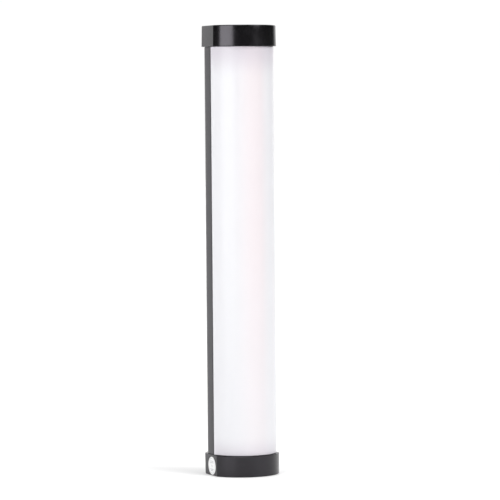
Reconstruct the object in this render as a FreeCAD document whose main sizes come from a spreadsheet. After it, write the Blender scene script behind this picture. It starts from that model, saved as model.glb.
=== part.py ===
import FreeCAD, Part
import math
import os
from types import SimpleNamespace

import Sketcher

# LED light tube: a battery light about 25 cm long for photo and video work.
#
# Frame: +Z runs along the tube, the lower cap's end face is at z = 0 and the tube's axis is x = y = 0.
# The light shines towards -Y. The flat back, with its display and keys, faces +Y.
# A black aluminium rail forms the sides and back, an opal diffuser forms the round front, and a
# moulded cap closes each end. All lengths are in millimetres and all angles in degrees.

SIZES = {
    # Whole tube
    "overall_length": 255.0,
    "back_plane": 18.4,
    # End caps: sizes at the end face, which the draft widens towards the mouth
    "cap_end_radius": 20.95,
    "cap_end_side": 19.25,
    "cap_draft": 1.0,
    "cap_height": 11.9,
    "cap_edge": 0.5,
    "end_wall": 2.4,
    "cavity_radius": 17.7,
    "cavity_side": 17.5,
    "cavity_back": 15.9,
    "column_radius": 3.0,
    "screw_hole": 1.35,
    "counterbore_radius": 2.5,
    "counterbore_depth": 5.0,
    # Lip of each cap that reaches into the diffuser
    "lip_radius": 17.9,
    "lip_wall": 1.6,
    "lip_half_width": 15.4,
    "lip_height": 18.2,
    # Gaskets between the caps and the tube
    "gasket_thickness": 0.3,
    "gasket_inset": 0.3,
    "gasket_hole": 18.0,
    "gasket_hole_side": 17.7,
    # Housing extrusion
    "tube_radius": 19.6,
    "tube_side": 19.2,
    "tube_back": 17.2,
    "tube_wall": 1.6,
    "seam": 3.9,
    "seam_gap": 0.06,
    "seam_chamfer": 0.35,
    "ledge_inner": 11.9,
    "ledge_front": 0.4,
    "ledge_rear": 1.6,
    "groove_depth": 0.5,
    "groove_front": -1.6,
    "groove_rear": -0.6,
    # Screw ports: a pair beside the ledges and a pair in the rear corners
    "side_port_x": 15.3,
    "side_port_y": 3.6,
    "side_port_radius": 2.4,
    "rear_port_x": 9.6,
    "rear_port_y": 13.0,
    "rear_port_radius": 2.1,
    "port_hole": 1.25,
    # Cap screws
    "cap_screw_head": 2.25,
    "cap_screw_head_height": 1.6,
    "cap_screw_shank": 1.2,
    "cap_screw_reach": 15.0,
    # Diffuser
    "diffuser_wall": 1.5,
    "leg_outer": 17.5,
    "leg_inner": 16.1,
    "leg_end": 0.5,
    "barb": 0.45,
    "barb_front": -1.45,
    "barb_rear": -0.75,
    # Thread insert and magnets
    "insert_radius": 4.4,
    "insert_bore": 2.55,
    "insert_height": 8.0,
    "insert_boss": 6.2,
    "insert_roof": 0.4,
    "magnet_radius": 4.5,
    "magnet_thickness": 2.5,
    "magnet_height": 7.0,
    "magnet_skin": 0.8,
    # Inspection sticker on the lower cap
    "sticker_radius": 5.1,
    "sticker_y": -1.4,
    "sticker_thickness": 0.12,
    "sticker_height": 5.55,
    # Display
    "display_height": 40.0,
    "lens_width": 11.0,
    "lens_length": 26.0,
    "lens_thickness": 0.85,
    "recess_depth": 0.95,
    "window_width": 7.0,
    "window_length": 23.0,
    "display_width": 11.2,
    "display_length": 24.0,
    "display_gap": 0.06,
    # Keys and their switches
    "first_key": 62.0,
    "key_pitch": 10.0,
    "key_hole": 3.25,
    "key_radius": 3.1,
    "key_bevel": 0.3,
    "key_flange": 3.9,
    "key_flange_thickness": 0.6,
    "key_height": 2.9,
    "key_seat": 14.9,
    "plunger_radius": 1.1,
    "plunger_hole": 1.2,
    "plunger_length": 1.15,
    "switch_size": 6.0,
    "switch_height": 1.2,
    # Control board, behind the display and keys
    "control_board_face": 12.0,
    "board_thickness": 1.2,
    "control_board_width": 14.0,
    "board_low": 22.0,
    "board_high": 98.0,
    "board_screw_x": 5.0,
    "board_screw_low": 24.5,
    "board_screw_high": 95.5,
    "board_hole": 1.1,
    "spacer_radius": 1.8,
    "spacer_bore": 0.95,
    "board_screw_head": 1.8,
    "board_screw_shank": 0.9,
    "board_screw_reach": 4.0,
    "control_chip_height": 1.1,
    # Driver board, resting on the ledges, with its inductors at +X and its capacitors at -X
    "driver_board_width": 25.2,
    "driver_chip_height": 1.5,
    "inductor_x": 6.6,
    "inductor_width": 7.0,
    "inductor_corner": 1.2,
    "inductor_height": 4.2,
    "inductor_first": 38.0,
    "inductor_pitch": 10.0,
    "capacitor_x": 7.0,
    "capacitor_radius": 3.15,
    "capacitor_height": 6.5,
    "capacitor_first": 37.0,
    "capacitor_pitch": 8.0,
    # USB board and socket
    "usb_board_face": 11.6,
    "usb_board_width": 11.0,
    "usb_board_thickness": 1.0,
    "usb_board_high": 20.0,
    "usb_width": 8.94,
    "usb_depth": 3.26,
    "usb_corner": 1.2,
    "usb_shell": 0.3,
    "usb_low": 2.6,
    "usb_length": 7.3,
    "usb_clearance": 0.32,
    "tongue_width": 6.7,
    "tongue_thickness": 0.7,
    # LED carrier, a hat section, with its pad and board
    "carrier_low": 19.0,
    "carrier_high": 236.0,
    "carrier_front": -5.2,
    "carrier_wall": 1.4,
    "carrier_half_width": 13.0,
    "flange_half_width": 15.9,
    "pad_thickness": 0.2,
    "led_board_low": 20.0,
    "led_board_high": 235.0,
    "led_board_thickness": 1.0,
    "led_board_half_width": 11.0,
    "led_width": 2.8,
    "led_length": 3.5,
    "led_height": 0.7,
    "led_column_x": 6.0,
    "led_first": 27.5,
    "led_pitch": 8.0,
    "led_rows": 26,
    "wing_thickness": 0.7,
    # Battery: two 18650 cells in line
    "cell_y": 6.0,
    "cell_radius": 9.15,
    "cell_length": 65.0,
    "cell_low": 100.5,
    "cell_gap": 0.4,
    "cell_bevel": 0.4,
    "crimp_start": 4.4,
    "crimp_end": 3.0,
    "cell_shoulder": 1.2,
    "terminal_radius": 2.75,
    "terminal_height": 0.8,
    "cradle_half_width": 11.4,
    "cradle_top": 5.0,
    "cradle_clearance": 0.15,
    "cradle_width": 5.0,
    "cradle_low": 106.0,
    "cradle_pitch": 39.0,
    "cradle_count": 4,
    "strip_half_width": 4.0,
    "strip_thickness": 0.2,
    "protection_gap": 0.8,
    "protection_radius": 8.8,
    "protection_thickness": 0.8,
    # Leads
    "wire_radius": 0.8,
    "wire_lift": 0.96,
    "wire_x": 11.6,
    "wire_y": 9.3,
    "wire_start_x": 5.0,
    "wire_bend": 2.5,
    "wire_low": 88.0,
    "flex_thickness": 0.3,
    "flex_half_width": 2.5,
    "link_bend": 0.4,
    "link_low_overlap": 6.0,
    "link_high_overlap": 5.0,
    "lead_drop": 1.0,
    "lead_front_overlap": 5.0,
    "lead_rear_overlap": 12.0,
}


class Dim:
    """A size that carries both its value and the sheet formula that drives it."""

    def __init__(self, value, formula=None):
        self.value = float(value)
        self.formula = formula or f"({self.value!r})"

    def __add__(self, other):
        other = as_dim(other)
        return Dim(self.value + other.value, f"({self.formula} + {other.formula})")

    def __sub__(self, other):
        other = as_dim(other)
        return Dim(self.value - other.value, f"({self.formula} - {other.formula})")

    def __mul__(self, other):
        other = as_dim(other)
        return Dim(self.value * other.value, f"({self.formula} * {other.formula})")

    def __truediv__(self, other):
        other = as_dim(other)
        return Dim(self.value / other.value, f"({self.formula} / {other.formula})")

    def __neg__(self):
        return self * -1

    def root(self):
        return Dim(math.sqrt(self.value), f"sqrt({self.formula})")


def as_dim(size):
    return size if isinstance(size, Dim) else Dim(size)


doc = FreeCAD.newDocument("LightTube")
sheet = doc.addObject("Spreadsheet::Sheet", "Sizes")
for row, (alias, size) in enumerate(SIZES.items(), start=1):
    sheet.set(f"A{row}", alias)
    sheet.set(f"B{row}", str(size))
    sheet.setAlias(f"B{row}", alias)
doc.recompute()

d = SimpleNamespace(**{alias: Dim(size, f"Sizes.{alias}") for alias, size in SIZES.items()})
ZERO = Dim(0)
subparts = []

# Sizes worked out from the driving ones
tube_low = d.cap_height + d.gasket_thickness
tube_length = d.overall_length - tube_low * 2
seam_front = -d.seam
wall_inner_side = d.tube_side - d.tube_wall
wall_inner_radius = d.tube_radius - d.tube_wall
wall_inner_back = d.tube_back - d.tube_wall
control_board_back = d.control_board_face + d.board_thickness
driver_board_back = d.ledge_rear + d.board_thickness
usb_centre = d.usb_board_face - d.usb_depth / 2
led_board_back = d.carrier_front - d.pad_thickness
led_board_front = led_board_back - d.led_board_thickness
key_heights = [d.first_key + d.key_pitch * step for step in range(4)]
port_centres = [
    (d.side_port_x, d.side_port_y, d.side_port_radius),
    (-d.side_port_x, d.side_port_y, d.side_port_radius),
    (d.rear_port_x, d.rear_port_y, d.rear_port_radius),
    (-d.rear_port_x, d.rear_port_y, d.rear_port_radius),
]
board_screw_spots = [
    (x, z) for x in (-d.board_screw_x, d.board_screw_x) for z in (d.board_screw_low, d.board_screw_high)
]


# Chips on the boards, each as (middle x, middle z, width, length)
CONTROL_CHIPS = [(0, 60, 8, 8), (-1, 72, 5, 5), (2.5, 80, 4, 3), (0, 44, 6, 4), (0, 34, 8, 3)]
DRIVER_CHIPS = [(-6, 66, 6, 6), (5.5, 70, 5, 5), (-5.5, 78, 5, 5), (0, 86, 9, 4)]
COIL_COUNT = 3
CAN_COUNT = 3


# ---------------------------------------------------------------- outlines
# An outline is a list of corners (x, y) or (x, y, radius), in order, with the solid on the left.
# A radius makes the edge that leaves the corner an arc: positive bulges out, negative bends in.
# A circle is written as ("circle", x, y, radius).


def circle(x, y, radius):
    return ("circle", as_dim(x), as_dim(y), as_dim(radius))


def rectangle(x_low, y_low, x_high, y_high):
    return [(x_low, y_low), (x_high, y_low), (x_high, y_high), (x_low, y_high)]


def centred(x, y, width, depth):
    x, y, width, depth = (as_dim(size) for size in (x, y, width, depth))
    return rectangle(x - width / 2, y - depth / 2, x + width / 2, y + depth / 2)


def rounded(x, y, width, depth, corner):
    """A rectangle about (x, y) with round corners."""
    left, right = x - width / 2, x + width / 2
    low, high = y - depth / 2, y + depth / 2
    return [
        (left + corner, low),
        (right - corner, low, corner),
        (right, low + corner),
        (right, high - corner, corner),
        (right - corner, high),
        (left + corner, high, corner),
        (left, high - corner),
        (left, low + corner, corner),
    ]


def mirrored(half, closing=None):
    """The right half of an outline and its mirror image; closing is the radius of the edge that joins
    the two first corners."""
    radii = [closing] + [corner[2] if len(corner) > 2 else None for corner in half[:-1]]
    left = [(-corner[0], corner[1], radius) for corner, radius in zip(half[::-1], radii[::-1])]
    return list(half) + left


def flat_sided(radius, side, back=None):
    """A circle on the tube's axis, cut by the side flats and, if given, by the back flat."""
    edge = (radius * radius - side * side).root()
    half = [(side, -edge), (side, edge, radius)]
    if back is not None:
        half.append(((radius * radius - back * back).root(), back))
    return mirrored(half, closing=radius)


def cross(x, y, span, width):
    """The outline of a cross recess about (x, y)."""
    arm, slot = as_dim(span / 2), as_dim(width / 2)
    turns = [(arm, -slot), (arm, slot), (slot, slot), (slot, arm), (-slot, arm), (-slot, slot)]
    return [(x + a, y + b) for a, b in turns] + [(x - a, y - b) for a, b in turns]


# ---------------------------------------------------------------- sketches and features


def arc_between(start, finish, radius):
    """The minor arc from start to finish: anticlockwise if the radius is positive."""
    chord = finish - start
    half = chord.Length / 2
    normal = FreeCAD.Vector(-chord.y, chord.x, 0).normalize()
    rise = math.sqrt(radius * radius - half * half)
    centre = (start + finish) / 2 + normal * math.copysign(rise, radius)
    if radius < 0:
        start, finish = finish, start
    angles = [math.atan2(point.y - centre.y, point.x - centre.x) for point in (start, finish)]
    if angles[1] < angles[0]:
        angles[1] += 2 * math.pi
    ring = Part.Circle(centre, FreeCAD.Vector(0, 0, 1), abs(radius))
    return Part.ArcOfCircle(ring, *angles)


def hold(sketch, kind, edge, end, size):
    """Dimension one coordinate of a point from the sketch's origin."""
    if abs(size.value) < 1e-9:
        axis = -2 if kind == "DistanceX" else -1
        sketch.addConstraint(Sketcher.Constraint("PointOnObject", edge, end, axis))
        return
    index = sketch.addConstraint(Sketcher.Constraint(kind, -1, 1, edge, end, size.value))
    sketch.setExpression(f"Constraints[{index}]", size.formula)


def hold_radius(sketch, edge, radius):
    index = sketch.addConstraint(Sketcher.Constraint("Radius", edge, abs(radius.value)))
    formula = radius.formula if radius.value > 0 else (-radius).formula
    sketch.setExpression(f"Constraints[{index}]", formula)


def draw_circle(sketch, x, y, radius):
    centre = FreeCAD.Vector(x.value, y.value, 0)
    ring = sketch.addGeometry(Part.Circle(centre, FreeCAD.Vector(0, 0, 1), radius.value), False)
    hold(sketch, "DistanceX", ring, 3, x)
    hold(sketch, "DistanceY", ring, 3, y)
    hold_radius(sketch, ring, radius)


def draw_outline(sketch, outline):
    corners = [(as_dim(corner[0]), as_dim(corner[1])) for corner in outline]
    points = [FreeCAD.Vector(x.value, y.value, 0) for x, y in corners]
    edges = []
    for index, corner in enumerate(outline):
        start, finish = points[index], points[(index + 1) % len(points)]
        radius = as_dim(corner[2]) if len(corner) > 2 and corner[2] is not None else None
        if radius is None:
            edges.append((sketch.addGeometry(Part.LineSegment(start, finish), False), 1, 2))
            continue
        edge = sketch.addGeometry(arc_between(start, finish, radius.value), False)
        hold_radius(sketch, edge, radius)
        edges.append((edge, 1, 2) if radius.value > 0 else (edge, 2, 1))
    for index, (edge, start, _) in enumerate(edges):
        before, _, finish = edges[index - 1]
        sketch.addConstraint(Sketcher.Constraint("Coincident", before, finish, edge, start))
        hold(sketch, "DistanceX", edge, start, corners[index][0])
        hold(sketch, "DistanceY", edge, start, corners[index][1])


def new_sketch(body, role, offset, outlines):
    """A sketch on one of the body's origin planes, moved along that plane's normal."""
    sketch = body.newObject("Sketcher::SketchObject", f"{body.Label}_sketch")
    plane = next(item for item in body.Origin.OriginFeatures if item.Role == role)
    sketch.AttachmentSupport = [(plane, "")]
    sketch.MapMode = "FlatFace"
    offset = as_dim(offset)
    sketch.AttachmentOffset = FreeCAD.Placement(FreeCAD.Vector(0, 0, offset.value), FreeCAD.Rotation())
    sketch.setExpression(".AttachmentOffset.Base.z", offset.formula)
    for outline in outlines:
        if outline[0] == "circle":
            draw_circle(sketch, *outline[1:])
        else:
            draw_outline(sketch, outline)
    doc.recompute()
    return sketch


def across(body, z, outlines):
    """A sketch across the tube at height z, drawn in X and Y. Its normal is +Z."""
    return new_sketch(body, "XY_Plane", z, outlines)


def upright(body, y, outlines):
    """A sketch in the plane at depth y, drawn in X and Z. Its normal is -Y."""
    return new_sketch(body, "XZ_Plane", -as_dim(y), outlines)


def lengthwise(body, x, outlines):
    """A sketch in the plane at x, drawn in Y and Z. Its normal is +X."""
    return new_sketch(body, "YZ_Plane", x, outlines)


def feature(body, kind, sketch, length, reverse):
    made = body.newObject(f"PartDesign::{kind}", f"{body.Label}_{kind.lower()}")
    made.Profile = sketch
    made.setExpression("Length", as_dim(length).formula)
    made.Reversed = reverse
    body.Tip = made
    return made


def pad(body, sketch, length, reverse=False, draft=None):
    """Adds material along the sketch's normal, or against it if reversed."""
    made = feature(body, "Pad", sketch, length, reverse)
    if draft is not None:
        made.setExpression("TaperAngle", draft.formula)
    doc.recompute()
    return made


def pocket(body, sketch, depth, reverse=False):
    """Cuts against the sketch's normal, or along it if reversed, and makes sure that it cut something."""
    before = body.Shape.Volume
    made = feature(body, "Pocket", sketch, depth, reverse)
    doc.recompute()
    if not body.Shape.Volume < before - 1e-3:
        raise RuntimeError(f"{made.Label} cuts nothing")
    return made


def repeat(body, originals, pitch, count):
    """Repeats features along Z."""
    axis = next(item for item in body.Origin.OriginFeatures if item.Role == "Z_Axis")
    made = body.newObject("PartDesign::LinearPattern", f"{body.Label}_row")
    made.Originals = originals
    made.Direction = (axis, [""])
    made.setExpression("Length", (pitch * (count - 1)).formula)
    made.setExpression("Occurrences", count.formula)
    body.Tip = made
    doc.recompute()


def revolve(body, outline):
    """Turns an outline drawn in X and Z about the body's own Z axis."""
    sketch = upright(body, ZERO, [outline])
    made = body.newObject("PartDesign::Revolution", f"{body.Label}_revolution")
    made.Profile = sketch
    made.ReferenceAxis = (sketch, ["V_Axis"])
    made.Angle = 360
    body.Tip = made
    doc.recompute()


def new_body(label):
    body = doc.addObject("PartDesign::Body", label)
    body.Label = label
    subparts.append(body)
    return body


def prism(label, low, length, outlines):
    """A body of constant section along the tube."""
    body = new_body(label)
    pad(body, across(body, low, outlines), length)
    return body


def slab(label, face, thickness, outlines, towards_front=False):
    """A flat body whose face lies at depth y = face, thickened towards the back or the front."""
    body = new_body(label)
    pad(body, upright(body, face, outlines), thickness, reverse=not towards_front)
    return body


def strap(label, half_width, outline):
    """A thin strip of constant width along X, its bent side view drawn in Y and Z."""
    body = new_body(label)
    pad(body, lengthwise(body, -half_width, [outline]), half_width * 2)
    return body


def place(item, x=ZERO, y=ZERO, z=ZERO, axis=(0, 0, 1), angle=0):
    """Moves and turns a sub-part, its place bound to the sheet."""
    spot = [as_dim(size) for size in (x, y, z)]
    turn = FreeCAD.Rotation(FreeCAD.Vector(*axis), angle)
    item.Placement = FreeCAD.Placement(FreeCAD.Vector(*(size.value for size in spot)), turn)
    for name, size in zip("xyz", spot):
        item.setExpression(f".Placement.Base.{name}", size.formula)


def at_top_end(item):
    """Turns a piece made for the lower end over, about the Y direction, to the upper end."""
    place(item, z=d.overall_length, axis=(0, 1, 0), angle=180)


def pin(label, radius, length, x, y, z, along_y=True):
    """A plain round piece whose lower or front end is at the point given."""
    made = doc.addObject("Part::Cylinder", label)
    made.Label = label
    made.setExpression("Radius", radius.formula)
    made.setExpression("Height", length.formula)
    place(made, x, y, z, axis=(1, 0, 0), angle=-90 if along_y else 0)
    subparts.append(made)


# ---------------------------------------------------------------- end caps, gaskets and their fixings


def make_cap(label):
    """The moulding that both ends share, with its end face at z = 0 and its mouth upwards."""
    body = new_body(label)
    end_face = flat_sided(d.cap_end_radius, d.cap_end_side)
    pad(body, across(body, ZERO, [end_face]), d.cap_height, draft=d.cap_draft)
    beyond = d.cap_end_radius * 2
    behind = rectangle(-beyond, d.back_plane, beyond, beyond)
    pocket(body, across(body, ZERO, [behind]), d.cap_height, reverse=True)

    block = body.Tip
    rim = [
        f"Edge{index}"
        for index, item in enumerate(block.Shape.Edges, start=1)
        if all(abs(corner.Z) < 1e-6 for corner in item.Vertexes)
    ]
    edge = body.newObject("PartDesign::Fillet", f"{label}_edge")
    edge.Base = (block, rim)
    edge.setExpression("Radius", d.cap_edge.formula)
    body.Tip = edge
    doc.recompute()

    cavity = flat_sided(d.cavity_radius, d.cavity_side, d.cavity_back)
    pocket(body, across(body, d.cap_height, [cavity]), d.cap_height - d.end_wall)
    columns = [circle(x, y, d.column_radius) for x, y, _ in port_centres]
    pad(body, across(body, d.end_wall, columns), d.cap_height - d.end_wall)

    lip_inner = d.lip_radius - d.lip_wall
    width = d.lip_half_width
    lip = [
        (width, -(d.lip_radius * d.lip_radius - width * width).root()),
        (width, -(lip_inner * lip_inner - width * width).root(), -lip_inner),
    ]
    lip = mirrored(lip, closing=d.lip_radius)
    pad(body, across(body, d.end_wall, [lip]), d.lip_height - d.end_wall)

    holes = [circle(x, y, d.screw_hole) for x, y, _ in port_centres]
    pocket(body, across(body, ZERO, holes), d.cap_height, reverse=True)
    seats = [circle(x, y, d.counterbore_radius) for x, y, _ in port_centres]
    pocket(body, across(body, ZERO, seats), d.counterbore_depth, reverse=True)

    magnet_seat = circle(ZERO, d.magnet_height, d.magnet_radius)
    depth = d.back_plane - d.magnet_skin - d.cavity_back
    pocket(body, upright(body, d.cavity_back, [magnet_seat]), depth)
    return body


def make_bottom_cap():
    """The lower cap also holds the stand thread and lets the charging plug in."""
    body = make_cap("bottom_cap")
    boss_height = d.insert_height + d.insert_roof - d.end_wall
    pad(body, across(body, d.end_wall, [circle(ZERO, ZERO, d.insert_boss)]), boss_height)
    pocket(body, across(body, ZERO, [circle(ZERO, ZERO, d.insert_radius)]), d.insert_height, reverse=True)
    width = d.usb_width + d.usb_clearance * 2
    depth = d.usb_depth + d.usb_clearance * 2
    opening = rounded(ZERO, usb_centre, width, depth, d.usb_corner + d.usb_clearance)
    pocket(body, across(body, ZERO, [opening]), d.end_wall, reverse=True)


def make_gasket(label):
    outside = flat_sided(
        d.tube_radius - d.gasket_inset, d.tube_side - d.gasket_inset, d.tube_back - d.gasket_inset
    )
    inside = flat_sided(d.gasket_hole, d.gasket_hole_side, d.cavity_back)
    return prism(label, d.cap_height, d.gasket_thickness, [outside, inside])


def make_cap_screws(label):
    """Four pan-head screws in the cap's counterbores, each with a cross recess."""
    body = new_body(label)
    head_low = d.counterbore_depth - d.cap_screw_head_height
    heads = [circle(x, y, d.cap_screw_head) for x, y, _ in port_centres]
    pad(body, across(body, head_low, heads), d.cap_screw_head_height)
    shanks = [circle(x, y, d.cap_screw_shank) for x, y, _ in port_centres]
    pad(body, across(body, d.counterbore_depth, shanks), d.cap_screw_reach)
    recesses = [cross(x, y, d.cap_screw_head, d.cap_screw_head / 4) for x, y, _ in port_centres]
    pocket(body, across(body, head_low, recesses), d.cap_screw_head_height / 2, reverse=True)
    return body


def make_magnet(label):
    front = d.back_plane - d.magnet_skin - d.magnet_thickness
    return slab(label, front, d.magnet_thickness, [circle(ZERO, d.magnet_height, d.magnet_radius)])


def make_insert():
    """Brass insert with the bore of a 1/4 inch stand thread, flush with the end face."""
    ring = [circle(ZERO, ZERO, d.insert_radius), circle(ZERO, ZERO, d.insert_bore)]
    prism("stand_insert", ZERO, d.insert_height, ring)


def make_sticker():
    """Round inspection sticker on the lower cap's -X flat, leaning with the flat's draft."""
    body = new_body("inspection_sticker")
    disc = circle(ZERO, ZERO, d.sticker_radius)
    pad(body, lengthwise(body, ZERO, [disc]), d.sticker_thickness, reverse=True)
    lean = SIZES["cap_draft"]
    flat_x = d.cap_end_side + d.sticker_height * math.tan(math.radians(lean))
    place(body, x=-flat_x, y=d.sticker_y, z=d.sticker_height, axis=(0, 1, 0), angle=-lean)


# ---------------------------------------------------------------- housing and diffuser


def make_housing():
    """Aluminium extrusion, open at the front, with ledges, snap grooves and four screw ports."""
    inner_rear = (wall_inner_radius * wall_inner_radius - wall_inner_back * wall_inner_back).root()
    inner_edge = (wall_inner_radius * wall_inner_radius - wall_inner_side * wall_inner_side).root()
    outer_edge = (d.tube_radius * d.tube_radius - d.tube_side * d.tube_side).root()
    outer_rear = (d.tube_radius * d.tube_radius - d.tube_back * d.tube_back).root()
    groove_floor = wall_inner_side + d.groove_depth
    half = [
        (inner_rear, wall_inner_back, -wall_inner_radius),
        (wall_inner_side, inner_edge),
        (wall_inner_side, d.ledge_rear),
        (d.ledge_inner, d.ledge_rear),
        (d.ledge_inner, d.ledge_front),
        (wall_inner_side, d.ledge_front),
        (wall_inner_side, d.groove_rear),
        (groove_floor, d.groove_rear),
        (groove_floor, d.groove_front),
        (wall_inner_side, d.groove_front),
        (wall_inner_side, seam_front),
        (d.tube_side - d.seam_chamfer, seam_front),
        (d.tube_side, seam_front + d.seam_chamfer),
        (d.tube_side, outer_edge, d.tube_radius),
        (outer_rear, d.tube_back),
    ]
    body = prism("housing", tube_low, tube_length, [mirrored(half)])
    ports = [circle(x, y, radius) for x, y, radius in port_centres]
    pad(body, across(body, tube_low, ports), tube_length)
    holes = [circle(x, y, d.port_hole) for x, y, _ in port_centres]
    pocket(body, across(body, tube_low, holes), tube_length, reverse=True)

    play = (d.recess_depth - d.lens_thickness) * 2
    recess = centred(ZERO, d.display_height, d.lens_width + play, d.lens_length + play)
    pocket(body, upright(body, d.tube_back, [recess]), d.recess_depth, reverse=True)
    window = centred(ZERO, d.display_height, d.window_width, d.window_length)
    key_holes = [circle(ZERO, height, d.key_hole) for height in key_heights]
    pocket(body, upright(body, d.tube_back, [window] + key_holes), d.tube_wall, reverse=True)


def make_diffuser():
    """Opal front: one thick arc with a leg and a snap barb along each edge."""
    edge_y = -(d.seam + d.seam_gap)
    edge_x = (d.tube_radius * d.tube_radius - edge_y * edge_y).root()
    inner = d.tube_radius - d.diffuser_wall
    half = [
        (edge_x, edge_y),
        (d.leg_outer, edge_y),
        (d.leg_outer, d.barb_front),
        (d.leg_outer + d.barb, d.barb_front),
        (d.leg_outer + d.barb, d.barb_rear),
        (d.leg_outer, d.barb_rear),
        (d.leg_outer, -d.leg_end),
        (d.leg_inner, -d.leg_end),
        (d.leg_inner, -(inner * inner - d.leg_inner * d.leg_inner).root(), -inner),
    ]
    prism("diffuser", tube_low, tube_length, [mirrored(half, closing=d.tube_radius)])


# ---------------------------------------------------------------- display and keys


def make_display():
    lens_seat = d.tube_back - d.recess_depth
    lens = centred(ZERO, d.display_height, d.lens_width, d.lens_length)
    slab("display_lens", lens_seat, d.lens_thickness, [lens])
    module = centred(ZERO, d.display_height, d.display_width, d.display_length)
    depth = wall_inner_back - d.display_gap - control_board_back
    slab("display_module", control_board_back, depth, [module])


def make_key(name, height):
    """A round key with a flange inside the wall, and the switch plunger that it presses."""
    button = new_body(f"{name}_button")
    outline = [
        (ZERO, ZERO),
        (d.key_flange, ZERO),
        (d.key_flange, d.key_flange_thickness),
        (d.key_radius, d.key_flange_thickness),
        (d.key_radius, d.key_height - d.key_bevel),
        (d.key_radius - d.key_bevel, d.key_height),
        (ZERO, d.key_height),
    ]
    revolve(button, outline)
    place(button, y=d.key_seat, z=height, axis=(1, 0, 0), angle=-90)
    plunger_low = d.key_seat - d.plunger_length
    pin(f"{name}_plunger", d.plunger_radius, d.plunger_length, ZERO, plunger_low, height)


def make_switches():
    outlines = []
    for height in key_heights:
        outlines.append(centred(ZERO, height, d.switch_size, d.switch_size))
        outlines.append(circle(ZERO, height, d.plunger_hole))
    slab("switch_bodies", control_board_back, d.switch_height, outlines)


# ---------------------------------------------------------------- boards


def make_control_board():
    half = d.control_board_width / 2
    holes = [circle(x, z, d.board_hole) for x, z in board_screw_spots]
    board = [rectangle(-half, d.board_low, half, d.board_high)] + holes
    slab("control_board", d.control_board_face, d.board_thickness, board)
    chips = [centred(*chip) for chip in CONTROL_CHIPS]
    slab("control_chips", d.control_board_face, d.control_chip_height, chips, towards_front=True)


def make_driver_board():
    half = d.driver_board_width / 2
    holes = [circle(x, z, d.board_hole) for x, z in board_screw_spots]
    board = [rectangle(-half, d.board_low, half, d.board_high)] + holes
    slab("driver_board", d.ledge_rear, d.board_thickness, board)
    chips = [centred(*chip) for chip in DRIVER_CHIPS]
    slab("driver_chips", driver_board_back, d.driver_chip_height, chips)

    wide = d.inductor_width
    heights = [d.inductor_first + d.inductor_pitch * step for step in range(COIL_COUNT)]
    coils = [rounded(d.inductor_x, height, wide, wide, d.inductor_corner) for height in heights]
    slab("inductors", driver_board_back, d.inductor_height, coils)

    heights = [d.capacitor_first + d.capacitor_pitch * step for step in range(CAN_COUNT)]
    cans = [circle(-d.capacitor_x, height, d.capacitor_radius) for height in heights]
    slab("capacitors", driver_board_back, d.capacitor_height, cans)


def make_board_fixings():
    """Four spacers between the two boards, and eight small screws into their ends."""
    spacers = []
    for x, z in board_screw_spots:
        spacers += [circle(x, z, d.spacer_radius), circle(x, z, d.spacer_bore)]
    slab("board_spacers", driver_board_back, d.control_board_face - driver_board_back, spacers)

    body = new_body("board_screws")
    heads = [circle(x, z, d.board_screw_head) for x, z in board_screw_spots]
    shanks = [circle(x, z, d.board_screw_shank) for x, z in board_screw_spots]
    pad(body, upright(body, control_board_back, heads), d.board_thickness, reverse=True)
    pad(body, upright(body, control_board_back, shanks), d.board_screw_reach)
    pad(body, upright(body, d.ledge_rear, heads), d.board_thickness)
    pad(body, upright(body, d.ledge_rear, shanks), d.board_screw_reach, reverse=True)


def make_usb():
    """Small board that stands on the lower cap's floor, with the charging socket at its foot."""
    half = d.usb_board_width / 2
    board = rectangle(-half, d.end_wall, half, d.usb_board_high)
    slab("usb_board", d.usb_board_face, d.usb_board_thickness, [board])

    shell = new_body("usb_socket")
    outside = rounded(ZERO, usb_centre, d.usb_width, d.usb_depth, d.usb_corner)
    pad(shell, across(shell, d.usb_low, [outside]), d.usb_length)
    thin = d.usb_shell * 2
    mouth = rounded(ZERO, usb_centre, d.usb_width - thin, d.usb_depth - thin, d.usb_corner - d.usb_shell)
    back_wall = d.usb_shell * 3
    pocket(shell, across(shell, d.usb_low, [mouth]), d.usb_length - back_wall, reverse=True)

    tongue_low = d.usb_low + d.usb_shell * 2
    tongue_length = d.usb_length - back_wall - d.usb_shell * 2
    tongue = centred(ZERO, usb_centre, d.tongue_width, d.tongue_thickness)
    prism("usb_tongue", tongue_low, tongue_length, [tongue])

    near, far = d.usb_board_face, d.control_board_face
    thick = d.flex_thickness / 2
    low_end, high_end = d.usb_board_high - d.link_low_overlap, d.board_low + d.link_high_overlap
    bend_low, bend_high = d.usb_board_high + d.link_bend, d.board_low - d.link_bend
    flex = [
        (near - thick, low_end),
        (near, low_end),
        (near, bend_low),
        (far, bend_high),
        (far, high_end),
        (far - thick, high_end),
        (far - thick, bend_high + thick),
        (near - thick, bend_low + thick),
    ]
    strap("board_link", d.flex_half_width, flex)


# ---------------------------------------------------------------- light engine


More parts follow.
